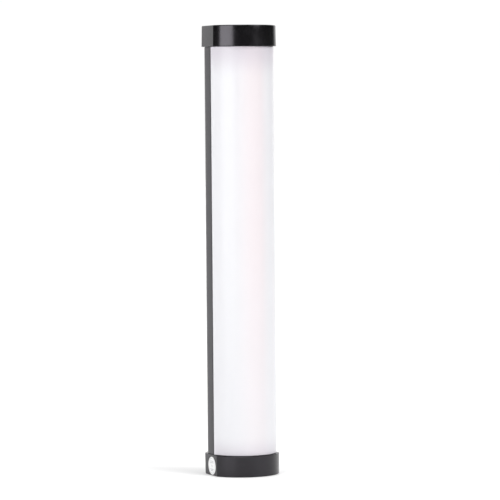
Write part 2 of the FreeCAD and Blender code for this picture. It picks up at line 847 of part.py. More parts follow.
def make_light_engine():
    outer, inner = d.carrier_half_width, d.carrier_half_width - d.carrier_wall
    flange_front = d.ledge_front - d.carrier_wall
    hat = [
        (outer, d.carrier_front),
        (outer, flange_front),
        (d.flange_half_width, flange_front),
        (d.flange_half_width, d.ledge_front),
        (inner, d.ledge_front),
        (inner, d.carrier_front + d.carrier_wall),
    ]
    prism("led_carrier", d.carrier_low, d.carrier_high - d.carrier_low, [mirrored(hat)])

    board_length = d.led_board_high - d.led_board_low
    half = d.led_board_half_width
    pad_section = rectangle(-half, led_board_back, half, d.carrier_front)
    prism("thermal_pad", d.led_board_low, board_length, [pad_section])
    board_section = rectangle(-half, led_board_front, half, led_board_back)
    prism("led_board", d.led_board_low, board_length, [board_section])

    columns = {"warm_leds": -d.led_column_x, "rgb_leds": ZERO, "cool_leds": d.led_column_x}
    for label, x in columns.items():
        body = new_body(label)
        lamp = centred(x, d.led_first, d.led_width, d.led_length)
        first = pad(body, upright(body, led_board_front, [lamp]), d.led_height)
        repeat(body, [first], d.led_pitch, d.led_rows)

    slope_x, slope_y = d.flange_half_width - outer, flange_front - d.carrier_front
    thin = d.wing_thickness
    wing = [
        (half + thin / 2, d.carrier_front),
        (half + thin / 2, d.carrier_front - thin),
        (outer + thin / 2, d.carrier_front - thin),
        (outer + slope_x, d.carrier_front + slope_y / 2),
        (outer + slope_x, flange_front),
        (outer + slope_x - thin, flange_front),
        (outer + slope_x - thin, d.carrier_front + slope_y / 2 + thin / 2),
        (outer + thin / 4, d.carrier_front),
    ]
    other_wing = [(-x, y) for x, y in wing[::-1]]
    prism("reflector_wings", d.led_board_low, board_length, [wing, other_wing])

    front, rear = led_board_front, d.ledge_rear
    thick = d.flex_thickness
    turn = d.carrier_low - d.lead_drop
    rear_end, front_end = turn + d.lead_rear_overlap, turn + d.lead_front_overlap
    lead = [
        (rear, turn),
        (rear, rear_end),
        (rear - thick, rear_end),
        (rear - thick, turn + thick),
        (front, turn + thick),
        (front, front_end),
        (front - thick, front_end),
        (front - thick, turn),
    ]
    strap("led_lead", d.flex_half_width, lead)


# ---------------------------------------------------------------- battery


def make_cell(label, low):
    """A round cell with a crimp groove below its raised terminal."""
    body = new_body(label)
    radius, length, bevel = d.cell_radius, d.cell_length, d.cell_bevel
    waist, top = radius - bevel, length - d.terminal_height
    outline = [
        (ZERO, ZERO),
        (waist, ZERO),
        (radius, bevel),
        (radius, length - d.crimp_start),
        (waist, length - d.crimp_start + bevel),
        (waist, length - d.crimp_end - bevel),
        (radius, length - d.crimp_end),
        (radius, length - d.cell_shoulder),
        (waist, top),
        (d.terminal_radius, top),
        (d.terminal_radius, length),
        (ZERO, length),
    ]
    revolve(body, outline)
    place(body, y=d.cell_y, z=low)


def make_battery():
    upper_low = d.cell_low + d.cell_length + d.cell_gap
    pack_high = upper_low + d.cell_length
    make_cell("lower_cell", d.cell_low)
    make_cell("upper_cell", upper_low)

    saddle = d.cell_radius + d.cradle_clearance
    drop = d.cell_y - d.cradle_top
    inside_x = (saddle * saddle - drop * drop).root()
    carrier_back = d.carrier_front + d.carrier_wall
    section = [
        (d.cradle_half_width, carrier_back),
        (d.cradle_half_width, d.cradle_top),
        (inside_x, d.cradle_top, -saddle),
    ]
    cradles = new_body("cell_cradles")
    first = pad(cradles, across(cradles, d.cradle_low, [mirrored(section)]), d.cradle_width)
    repeat(cradles, [first], d.cradle_pitch, d.cradle_count)

    half = d.strip_half_width
    strip = rectangle(-half, d.cell_y - half, half, d.cell_y + half)
    strips = new_body("nickel_strips")
    levels = [
        (d.cell_low - d.strip_thickness, d.strip_thickness),
        (d.cell_low + d.cell_length, d.cell_gap),
        (pack_high, d.strip_thickness),
    ]
    for low, thickness in levels:
        pad(strips, across(strips, low, [strip]), thickness)

    board_low = pack_high + d.protection_gap
    thick = d.protection_thickness
    pin("protection_board", d.protection_radius, thick, ZERO, d.cell_y, board_low, along_y=False)
    make_battery_lead((board_low + thick + d.wire_lift).value)


def make_battery_lead(top):
    """Two wires from the protection board, down beside the cells, to the driver board."""
    wires = []
    for side in (-1, 1):
        x = side * SIZES["wire_x"]
        y = SIZES["wire_y"]
        stops = [
            FreeCAD.Vector(side * SIZES["wire_start_x"], y, top),
            FreeCAD.Vector(x, y, top),
            FreeCAD.Vector(x, y, SIZES["wire_low"]),
            FreeCAD.Vector(x, driver_board_back.value, SIZES["wire_low"]),
        ]
        wires.append(bent_wire(stops, SIZES["wire_bend"], SIZES["wire_radius"]))
    lead = doc.addObject("Part::Feature", "battery_lead")
    lead.Label = "battery_lead"
    lead.Shape = Part.Compound(wires)
    lead.Placement = FreeCAD.Placement()
    subparts.append(lead)


def bent_wire(stops, bend, radius):
    """A round wire along straight runs, with a quarter-circle bend at each inner stop."""
    edges = []
    start = stops[0]
    for before, corner, after in zip(stops, stops[1:], stops[2:]):
        arriving = (corner - before).normalize()
        leaving = (after - corner).normalize()
        bend_start, bend_end = corner - arriving * bend, corner + leaving * bend
        middle = corner + (leaving - arriving) * bend * (1 - math.sqrt(0.5))
        edges.append(Part.makeLine(start, bend_start))
        edges.append(Part.Arc(bend_start, middle, bend_end).toShape())
        start = bend_end
    edges.append(Part.makeLine(start, stops[-1]))
    path = Part.Wire(edges)
    section = Part.Wire(Part.makeCircle(radius, stops[0], stops[1] - stops[0]))
    return path.makePipeShell([section], True, True)


# ---------------------------------------------------------------- assembly

make_housing()
make_diffuser()
make_bottom_cap()
at_top_end(make_cap("top_cap"))
make_gasket("lower_gasket")
at_top_end(make_gasket("upper_gasket"))
make_cap_screws("lower_cap_screws")
at_top_end(make_cap_screws("upper_cap_screws"))
make_magnet("bottom_magnet")
at_top_end(make_magnet("top_magnet"))
make_insert()
make_sticker()
make_display()
for key_name, key_z in zip(("power", "mode", "down", "up"), key_heights):
    make_key(key_name, key_z)
make_switches()
make_control_board()
make_driver_board()
make_board_fixings()
make_usb()
make_light_engine()
make_battery()
doc.recompute()

for item in doc.Objects:
    if "Invalid" in item.State or "Error" in item.State:
        raise RuntimeError(f"{item.Label} did not compute: {item.State}")
for item in subparts:
    if item.Shape.isNull() or not item.Shape.isValid():
        raise RuntimeError(f"{item.Label} has no valid shape")

os.makedirs("parts", exist_ok=True)
for item in subparts:
    item.Shape.exportStep(f"parts/{item.Label}.step")
    print(f"{item.Label}: {len(item.Shape.Solids)} solids, {item.Shape.Volume:.1f} mm3")
print(f"{len(subparts)} sub-parts")
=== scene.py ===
# %% [markdown]
# # A battery light tube
#
# The object is a hand-sized light for photo and video work. A black aluminium rail makes its back and
# sides, an opal diffuser makes its round front, and a moulded cap closes each end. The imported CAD
# model is the frame: every size and place below is read from it, so the finished pieces land exactly
# where the design puts them.

# %% Load the frame
import math

import bmesh
import bpy
from mathutils import Matrix, Quaternion, Vector


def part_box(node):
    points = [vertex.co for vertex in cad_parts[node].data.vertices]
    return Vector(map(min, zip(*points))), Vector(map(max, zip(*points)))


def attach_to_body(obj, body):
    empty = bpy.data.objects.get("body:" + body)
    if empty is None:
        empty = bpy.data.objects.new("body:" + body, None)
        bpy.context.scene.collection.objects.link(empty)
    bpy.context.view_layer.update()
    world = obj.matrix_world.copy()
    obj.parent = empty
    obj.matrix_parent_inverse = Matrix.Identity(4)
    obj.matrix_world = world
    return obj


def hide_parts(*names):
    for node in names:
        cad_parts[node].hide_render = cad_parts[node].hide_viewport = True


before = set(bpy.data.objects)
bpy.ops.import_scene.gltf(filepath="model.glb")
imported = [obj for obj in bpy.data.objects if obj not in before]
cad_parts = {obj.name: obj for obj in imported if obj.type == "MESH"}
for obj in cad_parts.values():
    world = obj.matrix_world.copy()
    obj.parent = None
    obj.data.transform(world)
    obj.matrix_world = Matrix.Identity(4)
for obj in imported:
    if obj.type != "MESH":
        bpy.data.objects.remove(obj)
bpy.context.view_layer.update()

MM = 0.001

# %% [markdown] ## Sizes  A person with the real tube in hand would measure it with a caliper. The few
# sizes that a box can't tell, such as a wall's thickness or a corner's radius, are named where they are
# first needed.

# %% Measure the main pieces
cap_low, cap_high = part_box("bottom_cap")
rail_low, rail_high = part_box("housing")
top_of_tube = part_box("top_cap")[1].z
tube_radius = -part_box("diffuser")[0].y
tube_side, tube_back = rail_high.x, rail_high.y
seam_front = rail_low.y
cap_mouth_radius, cap_mouth_side, cap_back = -cap_low.y, cap_high.x, cap_high.y
cap_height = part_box("lower_gasket")[0].z
lip_top = cap_high.z
ROOT = "tube_body"
print(f"tube {top_of_tube / MM:.1f} long, radius {tube_radius / MM:.2f}, cap {cap_height / MM:.1f} tall")

# %% [markdown]
# ## Camera
#
# The tube is seen from its left front, a little above the middle, through a long lens. A long lens
# keeps the tube's sides almost parallel, and the small roll lets it lean a hair to the left. The
# camera turns about the tube's own axis, so its place is one angle, one distance and one height.

# %% Place the camera
CAMERA_AZIMUTH = math.radians(-23.5)
CAMERA_DISTANCE = 1.70
CAMERA_HEIGHT = 0.205
AIM_HEIGHT = 0.12757
AIM_ASIDE = 0.0054
CAMERA_ROLL = math.radians(-0.47)
to_camera = Vector((math.sin(CAMERA_AZIMUTH), -math.cos(CAMERA_AZIMUTH), 0))
camera_right = Vector((math.cos(CAMERA_AZIMUTH), math.sin(CAMERA_AZIMUTH), 0))

camera_data = bpy.data.cameras.new("camera")
camera_data.lens = 215.3
camera_data.sensor_width = 36
camera = bpy.data.objects.new("camera", camera_data)
camera.location = to_camera * CAMERA_DISTANCE + Vector((0, 0, CAMERA_HEIGHT))
aim = camera_right * AIM_ASIDE + Vector((0, 0, AIM_HEIGHT))
turn = (aim - camera.location).to_track_quat("-Z", "Y")
camera.rotation_mode = "QUATERNION"
camera.rotation_quaternion = turn @ Quaternion((0, 0, 1), CAMERA_ROLL)
bpy.context.scene.collection.objects.link(camera)
bpy.context.scene.camera = camera
print("camera at", [round(part, 3) for part in camera.location])

# %% [markdown]
# ## Nodes
#
# The room, the finishes and the geometry trees are all networks of nodes. `node` adds one, sets it up
# and feeds its inputs, so that each network below reads as a list of what feeds what. Placing every
# node and drawing every link by hand does the same in three times the lines.

# %% Node helpers


def feed(tree, made, given):
    """Gives a node's inputs their sockets or plain values, by name or by number."""
    for key, value in given.items():
        if isinstance(value, bpy.types.NodeSocket):
            tree.links.new(value, made.inputs[key])
        else:
            made.inputs[key].default_value = value


def node(tree, kind, given=(), **settings):
    """Adds a node, sets its properties and feeds its inputs."""
    made = tree.nodes.new(kind)
    for key, value in settings.items():
        setattr(made, key, value)
    feed(tree, made, dict(given))
    return made


def calculate(tree, operation, *values):
    return node(tree, "ShaderNodeMath", enumerate(values), operation=operation).outputs[0]


def vector(tree, operation, *values, output=0):
    return node(tree, "ShaderNodeVectorMath", enumerate(values), operation=operation).outputs[output]


def spread(tree, value, low, high, start=0.3, stop=0.7, blend="LINEAR"):
    """Stretches a value from start..stop to low..high."""
    given = enumerate((value, start, stop, low, high))
    return node(tree, "ShaderNodeMapRange", given, interpolation_type=blend).outputs[0]


def coordinates(tree, kind="Object"):
    return node(tree, "ShaderNodeTexCoord").outputs[kind]


def parts_of(tree, place):
    return node(tree, "ShaderNodeSeparateXYZ", {0: place}).outputs


print("node helpers are ready")

# %% [markdown]
# ## Floor and light
#
# Glossy black shows its surroundings more than itself, so the room matters as much as the finish. It
# is a plain white studio that falls off to grey in front of the tube: the white behind and beside it
# lights the rims, and the darker front keeps the caps black. One tall soft light at the left draws the
# long highlight, and wide, even suns from the right and from above fill the rest.

# %% Floor, room and soft lights
FLOOR_SIZE = 14.0
ROOM_FRONT, ROOM_BACK, ROOM_CEILING, ROOM_SEEN = 0.05, 1.15, 0.35, 1.02
LIGHT_DISTANCE, LIGHT_TALL, LIGHT_AIM = 1.25, 0.62, 0.13
SUN_DISTANCE = 3.0
BACKDROP_TURN = math.radians(15)
BACKDROP_EDGES = (-0.766, -0.47)
away_from_backdrop = Matrix.Rotation(BACKDROP_TURN, 3, "Z") @ to_camera


def make_room():
    world = bpy.data.worlds.new("studio")
    bpy.context.scene.world = world
    world.use_nodes = True
    tree = world.node_tree
    tree.nodes.clear()
    around = coordinates(tree, "Generated")
    facing = vector(tree, "DOT_PRODUCT", around, away_from_backdrop, output="Value")
    front = spread(tree, facing, ROOM_BACK, ROOM_FRONT, *BACKDROP_EDGES, "SMOOTHSTEP")
    overhead = spread(tree, parts_of(tree, around)[2], 0, 1, 0.25, 0.75, "SMOOTHSTEP")
    level = node(tree, "ShaderNodeMix", {0: overhead, 2: front, 3: ROOM_CEILING}, data_type="FLOAT")
    from_camera = node(tree, "ShaderNodeLightPath").outputs["Is Camera Ray"]
    seen = {0: from_camera, 2: level.outputs[0], 3: ROOM_SEEN}
    strength = node(tree, "ShaderNodeMix", seen, data_type="FLOAT").outputs[0]
    glow = node(tree, "ShaderNodeBackground", {"Color": (1, 1, 1, 1), "Strength": strength})
    node(tree, "ShaderNodeOutputWorld", {0: glow.outputs[0]})


def add_light(name, kind, place, look, power, **settings):
    data = bpy.data.lights.new(name, kind)
    data.energy = power
    for key, value in settings.items():
        setattr(data, key, value)
    light = bpy.data.objects.new(name, data)
    light.location = place
    light.rotation_euler = look.to_track_quat("-Z", "Y").to_euler()
    bpy.context.scene.collection.objects.link(light)
    return light


def soft_light(name, aside, height, wide, power):
    """A tall rectangular soft light; aside is its angle from the camera's side, positive to the right."""
    angle = CAMERA_AZIMUTH + math.radians(aside)
    place = Vector((LIGHT_DISTANCE * math.sin(angle), -LIGHT_DISTANCE * math.cos(angle), height))
    look = Vector((0, 0, LIGHT_AIM)) - place
    light = add_light(name, "AREA", place, look, power, shape="RECTANGLE", size=wide, size_y=LIGHT_TALL)
    light.visible_camera = False


def soft_sun(name, aside, elevation, strength, breadth):
    """A far, wide light, even over the whole floor. Its breadth is the angle that it fills."""
    angle, rise = CAMERA_AZIMUTH + math.radians(aside), math.radians(elevation)
    towards = Vector((math.sin(angle) * math.cos(rise), -math.cos(angle) * math.cos(rise), math.sin(rise)))
    add_light(name, "SUN", towards * SUN_DISTANCE, -towards, strength, angle=math.radians(breadth))


make_room()
soft_light("left_softbox", aside=-39.5, height=0.33, wide=0.95, power=10.1)
soft_light("right_glow", aside=55, height=0.34, wide=0.36, power=0.05)
soft_sun("right_bounce", aside=60, elevation=32, strength=2.1, breadth=42)
soft_sun("overhead", aside=0, elevation=90, strength=1.8, breadth=35)
bpy.context.scene.view_settings.view_transform = "Standard"

# %% [markdown]
# ## Shader groups
#
# Three small effects turn up on many finishes, so each is a group with named inputs. `surface_grain`
# is the fine unevenness of a moulded, anodised or printed skin; its stretch turns specks into the
# long lines that a die leaves on an extrusion. `soft_smudges` is the patchy sheen of handled
# surfaces. `turned_rings` is the fine circular lay that a lathe leaves on a screw or an insert.

# %% Build the shader groups


def new_group(name, inputs, outputs):
    """A shader group with inputs (name, kind, default) and named outputs, and its given sockets."""
    group = bpy.data.node_groups.new(name, "ShaderNodeTree")
    for label, kind, default in inputs:
        socket = group.interface.new_socket(name=label, in_out="INPUT", socket_type="NodeSocket" + kind)
        socket.default_value = default
    for label in outputs:
        group.interface.new_socket(name=label, in_out="OUTPUT", socket_type="NodeSocketFloat")
    return group, group.nodes.new("NodeGroupInput").outputs


def make_surface_grain():
    inputs = [("Scale", "Float", 2000.0), ("Stretch", "Vector", (1, 1, 1))]
    group, given = new_group("surface_grain", inputs, ["Height", "Tone"])
    stretched = vector(group, "MULTIPLY", coordinates(group), given["Stretch"])
    slower = calculate(group, "MULTIPLY", given["Scale"], 0.06)
    fine = node(group, "ShaderNodeTexNoise", {"Vector": stretched, "Scale": given["Scale"], "Detail": 4})
    broad = node(group, "ShaderNodeTexNoise", {"Vector": stretched, "Scale": slower, "Detail": 2})
    node(group, "NodeGroupOutput", {"Height": fine.outputs[0], "Tone": broad.outputs[0]})
    return group


def make_soft_smudges():
    inputs = [("Scale", "Float", 60.0), ("Cover", "Float", 0.5)]
    group, given = new_group("soft_smudges", inputs, ["Mask"])
    noise = {"Vector": coordinates(group), "Scale": given["Scale"], "Detail": 5, "Distortion": 0.8}
    patches = node(group, "ShaderNodeTexNoise", noise).outputs[0]
    full = calculate(group, "ADD", given["Cover"], 0.25)
    edge = spread(group, patches, 0, 1, given["Cover"], full, "SMOOTHSTEP")
    node(group, "NodeGroupOutput", {"Mask": edge})
    return group


def make_turned_rings():
    inputs = [("Centre", "Vector", (0, 0, 0)), ("Rings", "Float", 6000.0)]
    group, given = new_group("turned_rings", inputs, ["Height"])
    moved = vector(group, "SUBTRACT", coordinates(group), given["Centre"])
    flat = vector(group, "MULTIPLY", moved, (1, 1, 0))
    reach = vector(group, "LENGTH", flat, output="Value")
    wave = calculate(group, "SINE", calculate(group, "MULTIPLY", reach, given["Rings"]))
    node(group, "NodeGroupOutput", {"Height": wave})
    return group


GRAIN = make_surface_grain()
SMUDGES = make_soft_smudges()
RINGS = make_turned_rings()
print("shader groups:", [group.name for group in (GRAIN, SMUDGES, RINGS)])

# %% [markdown]
# ## Finishes
#
# Most finishes differ only in colour, gloss and grain, so one maker builds them all: a Principled
# shader whose colour, roughness and normal are moved a little by the groups. A separate image per
# finish would also work, but a rule stays sharp at any distance and needs no file.

# %% The maker of plain finishes
FINISHES = {}


def placed(tree, group, **values):
    return node(tree, "ShaderNodeGroup", values, node_tree=group).outputs


def mix_colours(tree, factor, first, second):
    """Blends two colours, each a tuple or a socket, by a socket that runs from 0 to 1."""
    given = {0: factor, 6: first, 7: second}
    for key in (6, 7):
        if isinstance(given[key], tuple):
            given[key] = (*given[key], 1)
    return node(tree, "ShaderNodeMix", given, data_type="RGBA").outputs[2]


def bump_from(tree, height, strength, distance):
    given = {"Height": height, "Strength": strength, "Distance": distance}
    return node(tree, "ShaderNodeBump", given).outputs["Normal"]


def shade(colour, amount):
    return tuple(min(1.0, part * amount) for part in colour)


def new_finish(name):
    material = bpy.data.materials.new(name)
    material.use_nodes = True
    return material, material.node_tree, material.node_tree.nodes["Principled BSDF"]


def plain_finish(
    name, colour, rough, scale, depth, metal=0.0, stretch=(1, 1, 1), swing=0.1, smudge=0.05, **sockets
):
    """A finish with grain in its colour and bump and soft smudges in its gloss."""
    material, tree, shader = new_finish(name)
    grain = placed(tree, GRAIN, Scale=scale, Stretch=stretch)
    smudges = placed(tree, SMUDGES, Scale=90.0, Cover=0.45)
    tone = spread(tree, grain["Tone"], 0, 1)
    given = {
        "Base Color": mix_colours(tree, tone, shade(colour, 1 - swing), shade(colour, 1 + swing)),
        "Roughness": spread(tree, smudges["Mask"], rough, rough + smudge, 0, 1),
        "Normal": bump_from(tree, grain["Height"], 0.35, depth * MM),
        "Metallic": metal,
    }
    given.update({label.replace("_", " "): value for label, value in sockets.items()})
    feed(tree, shader, given)
    return material


def add_finishes(table):
    """Makes plain finishes from rows of colour, roughness and extras."""
    for name, (colour, rough, extra) in table.items():
        FINISHES[name] = plain_finish(name, colour, rough, **extra)
    print("finishes:", ", ".join(table))


# %% Plain finishes of the outer pieces
COOL_SHEEN = (1.0, 0.955, 1.05, 1)
MOULDED = dict(scale=5200, depth=0.004, Specular_IOR_Level=0.43, Specular_Tint=COOL_SHEEN)
DIE_LINES = dict(scale=2400, stretch=(1, 1, 0.015), depth=0.006, swing=0.16, smudge=0.04)
ANODISED = dict(Specular_IOR_Level=0.46, Specular_Tint=COOL_SHEEN, **DIE_LINES)
add_finishes(
    {
        "black_moulding": ((0.0028, 0.0027, 0.003), 0.19, MOULDED),
        "anodised_rail": ((0.014, 0.0135, 0.015), 0.32, ANODISED),
        "black_rubber": ((0.008, 0.008, 0.008), 0.75, dict(scale=2600, depth=0.03)),
        "black_steel": ((0.03, 0.03, 0.032), 0.33, dict(metal=0.75, scale=1800, depth=0.01)),
        "key_plastic": ((0.03, 0.03, 0.031), 0.46, dict(scale=4200, depth=0.02)),
        "key_print": ((0.62, 0.62, 0.63), 0.5, dict(scale=6000, depth=0.004)),
        "port_steel": ((0.58, 0.58, 0.6), 0.27, dict(metal=1.0, scale=900, stretch=(6, 6, 0.4), depth=0.006)),
        "gilt": ((0.83, 0.60, 0.22), 0.2, dict(metal=1.0, scale=6000, depth=0.002)),
        "floor_paint": ((0.95, 0.95, 0.95), 0.6, dict(scale=40, depth=0.02, swing=0.01)),
    }
)

# %% Plain finishes of the inner pieces
DRAWN = (8, 8, 0.25)
add_finishes(
    {
        "bare_aluminium": ((0.80, 0.81, 0.82), 0.36, dict(metal=1.0, scale=700, stretch=DRAWN, depth=0.01)),
        "nickel_plate": ((0.70, 0.68, 0.64), 0.24, dict(metal=1.0, scale=1200, depth=0.006)),
        "bright_steel": ((0.60, 0.60, 0.61), 0.3, dict(metal=1.0, scale=1500, depth=0.008)),
        "switch_nylon": ((0.025, 0.025, 0.026), 0.5, dict(scale=2600, depth=0.02)),
        "chip_resin": ((0.018, 0.018, 0.019), 0.58, dict(scale=5200, depth=0.02)),
        "ferrite": ((0.07, 0.07, 0.075), 0.62, dict(scale=3600, depth=0.03, swing=0.25)),
        "flex_film": ((0.48, 0.25, 0.05), 0.3, dict(scale=600, stretch=(5, 1, 1), depth=0.006)),
        "thermal_pad": ((0.30, 0.36, 0.52), 0.8, dict(scale=1500, depth=0.03)),
        "lamp_white": ((0.85, 0.85, 0.84), 0.42, dict(scale=4000, depth=0.005, swing=0.03)),
        "reflector_white": ((0.88, 0.88, 0.88), 0.5, dict(scale=3000, depth=0.01, swing=0.02)),
        "warm_phosphor": ((0.85, 0.42, 0.06), 0.5, dict(scale=9000, depth=0.01)),
        "cool_phosphor": ((0.88, 0.80, 0.12), 0.5, dict(scale=9000, depth=0.01)),
        "clear_phosphor": ((0.72, 0.74, 0.70), 0.2, dict(scale=9000, depth=0.004)),
        "cell_sleeve": ((0.03, 0.10, 0.24), 0.3, dict(scale=1400, stretch=(1, 1, 3), depth=0.01, swing=0.08)),
        "wire_cover": ((0.42, 0.015, 0.012), 0.45, dict(scale=2200, stretch=(1, 1, 0.2), depth=0.01)),
    }
)

# %% [markdown]
# ## Opal plastic and printed film
#
# The **opal** front is thick milky plastic. Its colour is not one white: the lamps behind its front line
# warm it a little, more so towards the top. Its two ends are painted darker, a painted shade for the
# shade that the lip of each cap casts inside it, and it is painted lighter towards its two seams, a
# painted highlight that brightens its sides. The **sticker** is printed film; its marks are plain
# bars, a ring and a tick, worked out from the distance to its middle.

# %% Opal plastic
# Reaches of the painted shade at the diffuser's two ends, where the caps' lips shade its inside.
TOP_SHADE = 21 * MM
LOW_SHADE = 12 * MM


def away_from(tree, value, centre, reach):
    """1 at the centre, falling smoothly to 0 at the reach on both sides."""
    offset = calculate(tree, "ABSOLUTE", calculate(tree, "SUBTRACT", value, centre))
    return spread(tree, offset, 1, 0, 0, reach, "SMOOTHERSTEP")


def opal_finish():
    material, tree, shader = new_finish("opal_plastic")
    across, _, along = parts_of(tree, coordinates(tree))
    white, warm, painted_end_shade = (0.616, 0.616, 0.637), (0.648, 0.6, 0.619), (0.485, 0.446, 0.5)
    front_line = away_from(tree, across, 2 * MM, 16 * MM)
    upper = spread(tree, along, 0.45, 1.0, 20 * MM, 130 * MM)
    layers = [
        (calculate(tree, "MULTIPLY", front_line, upper), warm),
        # Painted highlight: the diffuser is painted paler towards its two seams, brightening its sides.
        (spread(tree, away_from(tree, across, -4 * MM, 20 * MM), 1, 0, 0, 0.6), shade(white, 1.06)),
        # Painted shade: the diffuser is painted darker near the top and lower ends of the rail.
        (calculate(tree, "MULTIPLY", away_from(tree, along, rail_high.z, TOP_SHADE), 0.6), painted_end_shade),
        (calculate(tree, "MULTIPLY", away_from(tree, along, rail_low.z, LOW_SHADE), 0.4), painted_end_shade),
    ]
    colour = white
    for mask, tint in layers:
        colour = mix_colours(tree, mask, colour, tint)
    grain = placed(tree, GRAIN, Scale=2600.0, Stretch=(1, 1, 0.6))
    normal = bump_from(tree, grain["Height"], 0.1, 0.003 * MM)
    feed(tree, shader, {"Base Color": colour, "Normal": normal})
    feed(tree, shader, {"Roughness": 0.28, "Specular IOR Level": 0.22})
    return material


FINISHES["opal_plastic"] = opal_finish()
print("opal ends dimmed over", round(TOP_SHADE / MM), "and", round(LOW_SHADE / MM), "mm")

# %% Printed sticker
STICKER_RING = 4.25 * MM
STICKER_BARS = {2.6 * MM: 2.0 * MM, 1.75 * MM: 2.6 * MM, -2.0 * MM: 2.4 * MM, -2.8 * MM: 1.6 * MM}
STICKER_TICK = [(1.0, -0.95 * MM, -1.2 * MM, -0.3 * MM), (-1.0, -0.35 * MM, -0.3 * MM, 1.6 * MM)]


def within(tree, value, centre, half):
    """1 where a value is within half of the centre, else 0."""
    return calculate(tree, "COMPARE", value, centre, half)


def sticker_finish(centre):
    """White film with grey print: a ring, rows of short bars and a tick."""
    material, tree, shader = new_finish("label_film")
    flat = vector(tree, "MULTIPLY", vector(tree, "SUBTRACT", coordinates(tree), centre), (0, 1, 1))
    reach = vector(tree, "LENGTH", flat, output="Value")
    _, sideways, upwards = parts_of(tree, flat)
    strokes = []
    for height, half in STICKER_BARS.items():
        strokes.append((within(tree, upwards, height, 0.2 * MM), within(tree, sideways, 0, half)))
    for slope, level, low, high in STICKER_TICK:
        slant = calculate(tree, "MULTIPLY_ADD", sideways, slope, upwards)
        limits = within(tree, sideways, (low + high) / 2, (high - low) / 2)
        strokes.append((within(tree, slant, level, 0.22 * MM), limits))
    ink = within(tree, reach, STICKER_RING, 0.09 * MM)
    for stroke in strokes:
        ink = calculate(tree, "MAXIMUM", ink, calculate(tree, "MULTIPLY", *stroke))
    grain = placed(tree, GRAIN, Scale=7000.0)
    paper = mix_colours(tree, grain["Tone"], (0.75, 0.75, 0.75), (0.80, 0.80, 0.80))
    given = {
        "Base Color": mix_colours(tree, calculate(tree, "MULTIPLY", ink, 0.85), paper, (0.33, 0.34, 0.36)),
        "Roughness": spread(tree, grain["Height"], 0.35, 0.45),
        "Normal": bump_from(tree, grain["Height"], 0.2, 0.004 * MM),
    }
    feed(tree, shader, given)
    return material


sticker_low, sticker_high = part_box("inspection_sticker")
sticker_middle = (sticker_low + sticker_high) / 2
FINISHES["label_film"] = sticker_finish(sticker_middle)
print("sticker is", round((sticker_high.z - sticker_low.z) / MM, 2), "mm across")

# %% [markdown]
# ## Outlines and lofts
#
# Caps, gaskets and rail share one rule: a circle on the tube's axis, cut by flats, with small round
# corners. `flat_sided` draws that outline, and its inset shrinks it evenly, so a stack of insets at
# rising heights makes an edge radius. `loft` joins such rings into a skin. Booleans of a cylinder and
# boxes would give the same solid, but not these clean, even faces.

# %% Outline helpers
CORNER_STEPS = 5
FRONT_STEPS = 72
REAR_STEPS = 14


def arc(centre, radius, start, stop, steps):
    """Points along an arc, both ends included. Angles are in degrees."""
    angles = [math.radians(start + (stop - start) * step / steps) for step in range(steps + 1)]
    return [(centre[0] + radius * math.cos(a), centre[1] + radius * math.sin(a)) for a in angles]


def flat_sided(radius, side, back, corner, inset=0.0):
    """A circle cut by side flats and a back flat, with round corners, shrunk by the inset."""
    radius, side, back = radius - inset, side - inset, back - inset
    corner = max(corner - inset, 0.02 * MM)
    hub_x = side - corner
    hub_y = math.sqrt((radius - corner) ** 2 - hub_x**2)
    rear_y = back - corner
    rear_x = math.sqrt((radius - corner) ** 2 - rear_y**2)
    flat_turn = math.degrees(math.atan2(hub_y, hub_x))
    rear_turn = math.degrees(math.atan2(rear_y, rear_x))
    right = arc((hub_x, -hub_y), corner, -flat_turn, 0, CORNER_STEPS)
    right += arc((hub_x, hub_y), corner, 0, flat_turn, CORNER_STEPS)
    right += arc((0, 0), radius, flat_turn, rear_turn, REAR_STEPS)[1:-1]
    right += arc((rear_x, rear_y), corner, rear_turn, 90, CORNER_STEPS)
    front = arc((0, 0), radius, 180 + flat_turn, 360 - flat_turn, FRONT_STEPS)[1:-1]
    return right + mirrored(right) + front


def round_rectangle(centre, half_wide, half_tall, corner, steps):
    outline = []
    for side, end, start in ((1, 1, 0), (-1, 1, 90), (-1, -1, 180), (1, -1, 270)):
        hub = (centre[0] + side * (half_wide - corner), centre[1] + end * (half_tall - corner))
        outline += arc(hub, corner, start, start + 90, steps)
    return outline


def mirrored(outline):
    return [(-x, y) for x, y in outline[::-1]]


def at_height(outline, height):
    return [(x, y, height) for x, y in outline]


def piece_from(name, vertices, faces):
    """A mesh object with a closed, outward-facing skin."""
    mesh = bpy.data.meshes.new(name)
    mesh.from_pydata(vertices, [], faces)
    work = bmesh.new()
    work.from_mesh(mesh)
    bmesh.ops.remove_doubles(work, verts=work.verts, dist=1e-7)
    bmesh.ops.recalc_face_normals(work, faces=work.faces)
    work.to_mesh(mesh)
    work.free()
    piece = bpy.data.objects.new(name, mesh)
    bpy.context.scene.collection.objects.link(piece)
    return piece


def loft(name, rings, closed=False):
    """Joins rings of equal length in turn, then fills both ends or, if closed, joins last to first."""
    size = len(rings[0])
    vertices = [point for ring in rings for point in ring]
    ends = [list(range(size))[::-1], list(range(len(vertices) - size, len(vertices)))]
    faces = [] if closed else ends
    for level in range(len(rings) if closed else len(rings) - 1):
        low, high = level * size, (level + 1) % len(rings) * size
        for step in range(size):
            after = (step + 1) % size
            faces.append((low + step, low + after, high + after, high + step))
    return piece_from(name, vertices, faces)


def lathe(name, profile, centre=(0, 0, 0), axis="Z", steps=48, closed=False):
    """Turns a profile of (radius, height) pairs about an axis through the centre."""
    rings = []
    for radius, height in profile:
        ring = arc((0, 0), max(radius, 1e-6), 0, 360, steps)[:-1]
        if axis == "Z":
            rings.append([(centre[0] + x, centre[1] + y, centre[2] + height) for x, y in ring])
        else:
            rings.append([(centre[0] + x, centre[1] + height, centre[2] - y) for x, y in ring])
    return loft(name, rings, closed)


print("points in one outline:", len(flat_sided(tube_radius, tube_side, tube_back, 0.3 * MM)))

# %% Joining, cutting and finishing


